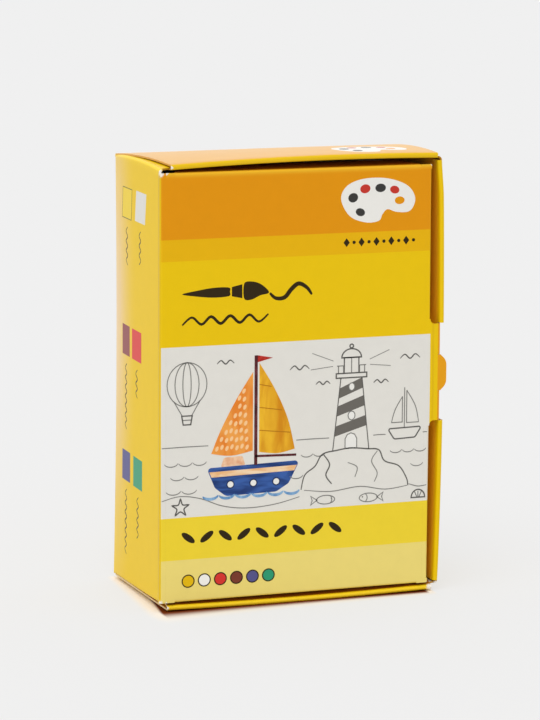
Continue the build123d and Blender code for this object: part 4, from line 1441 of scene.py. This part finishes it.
# The painted shadow's tint starts inside the box's left and right corners, and ends sooner beside and behind
# it
tintInset = addNode(paper, "ShaderNodeMapRange", {
    "Value": paperParts.outputs["Y"], "From Min": -frontAt, "From Max": halo["tintLeftOver"] - frontAt,
    "To Min": halo["tintLeft"][0], "To Max": halo["tintLeft"][1]})
leftOfBox = addNode(paper, "ShaderNodeMath", {
    0: paperParts.outputs["X"], 1: -1.0, 2: -sideAt}, operation="MULTIPLY_ADD")
tintLeft = addNode(paper, "ShaderNodeMath", {
    0: leftOfBox.outputs["Value"], 1: tintInset.outputs["Result"]}, operation="ADD")
tintRight = addNode(paper, "ShaderNodeMath", {
    0: paperParts.outputs["X"], 1: sideAt - halo["tintRight"]}, operation="SUBTRACT")
tintSides = addNode(paper, "ShaderNodeMath", {
    0: tintLeft.outputs["Value"], 1: tintRight.outputs["Value"]}, operation="MAXIMUM")
tintPast = addNode(paper, "ShaderNodeMath", {0: tintSides.outputs["Value"], 1: 0.0}, operation="MAXIMUM")
tintAcross = addNode(paper, "ShaderNodeMath", {
    0: tintPast.outputs["Value"], 1: halo["tintSide"]}, operation="MULTIPLY")
tintAlong = addNode(paper, "ShaderNodeMath", {
    0: past["behind"], 1: halo["tintBehind"], 2: past["front"]}, operation="MULTIPLY_ADD")
paperShares = {}
for name, across, along in [("shadow", shadowAcross, shadowAlong), ("tint", tintAcross, tintAlong)]:
    way = addNode(paper, "ShaderNodeCombineXYZ", {"X": across.outputs["Value"], "Y": along.outputs["Value"]})
    reach = addNode(paper, "ShaderNodeVectorMath", {0: way.outputs["Vector"]}, operation="LENGTH")
    share = addNode(paper, "ShaderNodeMapRange", {
        "Value": reach.outputs["Value"], "From Max": halo[f"{name}Far"]}, interpolation_type="SMOOTHSTEP")
    paperShares[name] = share.outputs["Result"]
paperGlow = addNode(paper, "ShaderNodeMath", {
    0: paperShares["shadow"], 1: halo["glow"]}, operation="MULTIPLY")
# Near the box: the dark red-brown painted shadow, then the warm painted bounce tone
paperNear = addNode(paper, "ShaderNodeMix", {
    "Factor": paperShares["tint"], "A": toLinear(halo["tint"]), "B": toLinear(halo["lit"])},
    data_type="RGBA")
paperTone = addNode(paper, "ShaderNodeMix", {
    "Factor": paperShares["shadow"], "A": paperNear.outputs["Result"], "B": toLinear(halo["unlit"])},
    data_type="RGBA")
paperShader = addNode(paper, "ShaderNodeBsdfPrincipled", {
    "Base Color": paperTone.outputs["Result"], "Roughness": halo["roughness"], "Specular IOR Level": 0.0,
    "Emission Color": (1.0, 1.0, 1.0, 1.0), "Emission Strength": paperGlow.outputs["Value"]})
addNode(paper, "ShaderNodeOutputMaterial", {"Surface": paperShader.outputs["BSDF"]})
floorMesh.materials.append(paper)

# The key light comes from high above, a little from the left, as the bright upper face shows. It is a
# sun with a wide disc, so that it lights the whole floor alike
studio = {
    "backSky": 1.12, "frontSky": 0.58, "key": 1.15, "keyAt": (-0.45, -0.55, 1.7), "keySize": 40.0,
    "fill": 1.2, "fillAt": (-0.55, -1.3, 0.35), "fillSize": 0.7,
}
world = bpy.data.worlds.new("studio")
bpy.context.scene.world = world
world.use_nodes = True
background = world.node_tree.nodes["Background"]
background.inputs["Color"].default_value = (1.0, 1.0, 1.0, 1.0)
# The white backdrop behind the box is brighter than the room in front of it
skyWay = addNode(world, "ShaderNodeTexCoord")
skyParts = addNode(world, "ShaderNodeSeparateXYZ", {"Vector": skyWay.outputs["Generated"]})
skyShare = addNode(world, "ShaderNodeMapRange", {
    "Value": skyParts.outputs["Y"], "From Min": -1.0, "From Max": 1.0,
    "To Min": studio["frontSky"], "To Max": studio["backSky"]})
world.node_tree.links.new(skyShare.outputs["Result"], background.inputs["Strength"])
boxMiddle = Vector((0, 0, top / 2)) * mm
for name, kind in [("key", "SUN"), ("fill", "AREA")]:
    light = bpy.data.lights.new(name, kind)
    if kind == "SUN":
        light.angle = math.radians(studio["keySize"])
    else:
        light.shape = "DISK"
        light.size = studio["fillSize"]
    light.energy = studio[name]
    lamp = bpy.data.objects.new(name, light)
    bpy.context.scene.collection.objects.link(lamp)
    lamp.location = studio[f"{name}At"]
    lamp.rotation_euler = (boxMiddle - lamp.location).to_track_quat("-Z", "Y").to_euler()

# The photograph's place and lens, for a 36 mm sensor
view = {
    "at": (-0.2786, -0.7807, 0.20914), "yaw": 19.52, "pitch": 10.16, "roll": 0.388, "lens": 160.0,
    "sensor": 36.0, "near": 0.01,
}
camera = bpy.data.cameras.new("camera")
camera.lens = view["lens"]
camera.sensor_width = view["sensor"]
camera.clip_start = view["near"]
cameraObject = bpy.data.objects.new("camera", camera)
bpy.context.scene.collection.objects.link(cameraObject)
yaw = Matrix.Rotation(math.radians(-view["yaw"]), 4, "Z")
pitch = Matrix.Rotation(math.radians(90 - view["pitch"]), 4, "X")
tilt = Matrix.Rotation(math.radians(view["roll"]), 4, "Z")
cameraObject.matrix_world = Matrix.Translation(view["at"]) @ yaw @ pitch @ tilt
bpy.context.scene.camera = cameraObject
bpy.context.scene.view_settings.view_transform = "Standard"
print("studio ready")
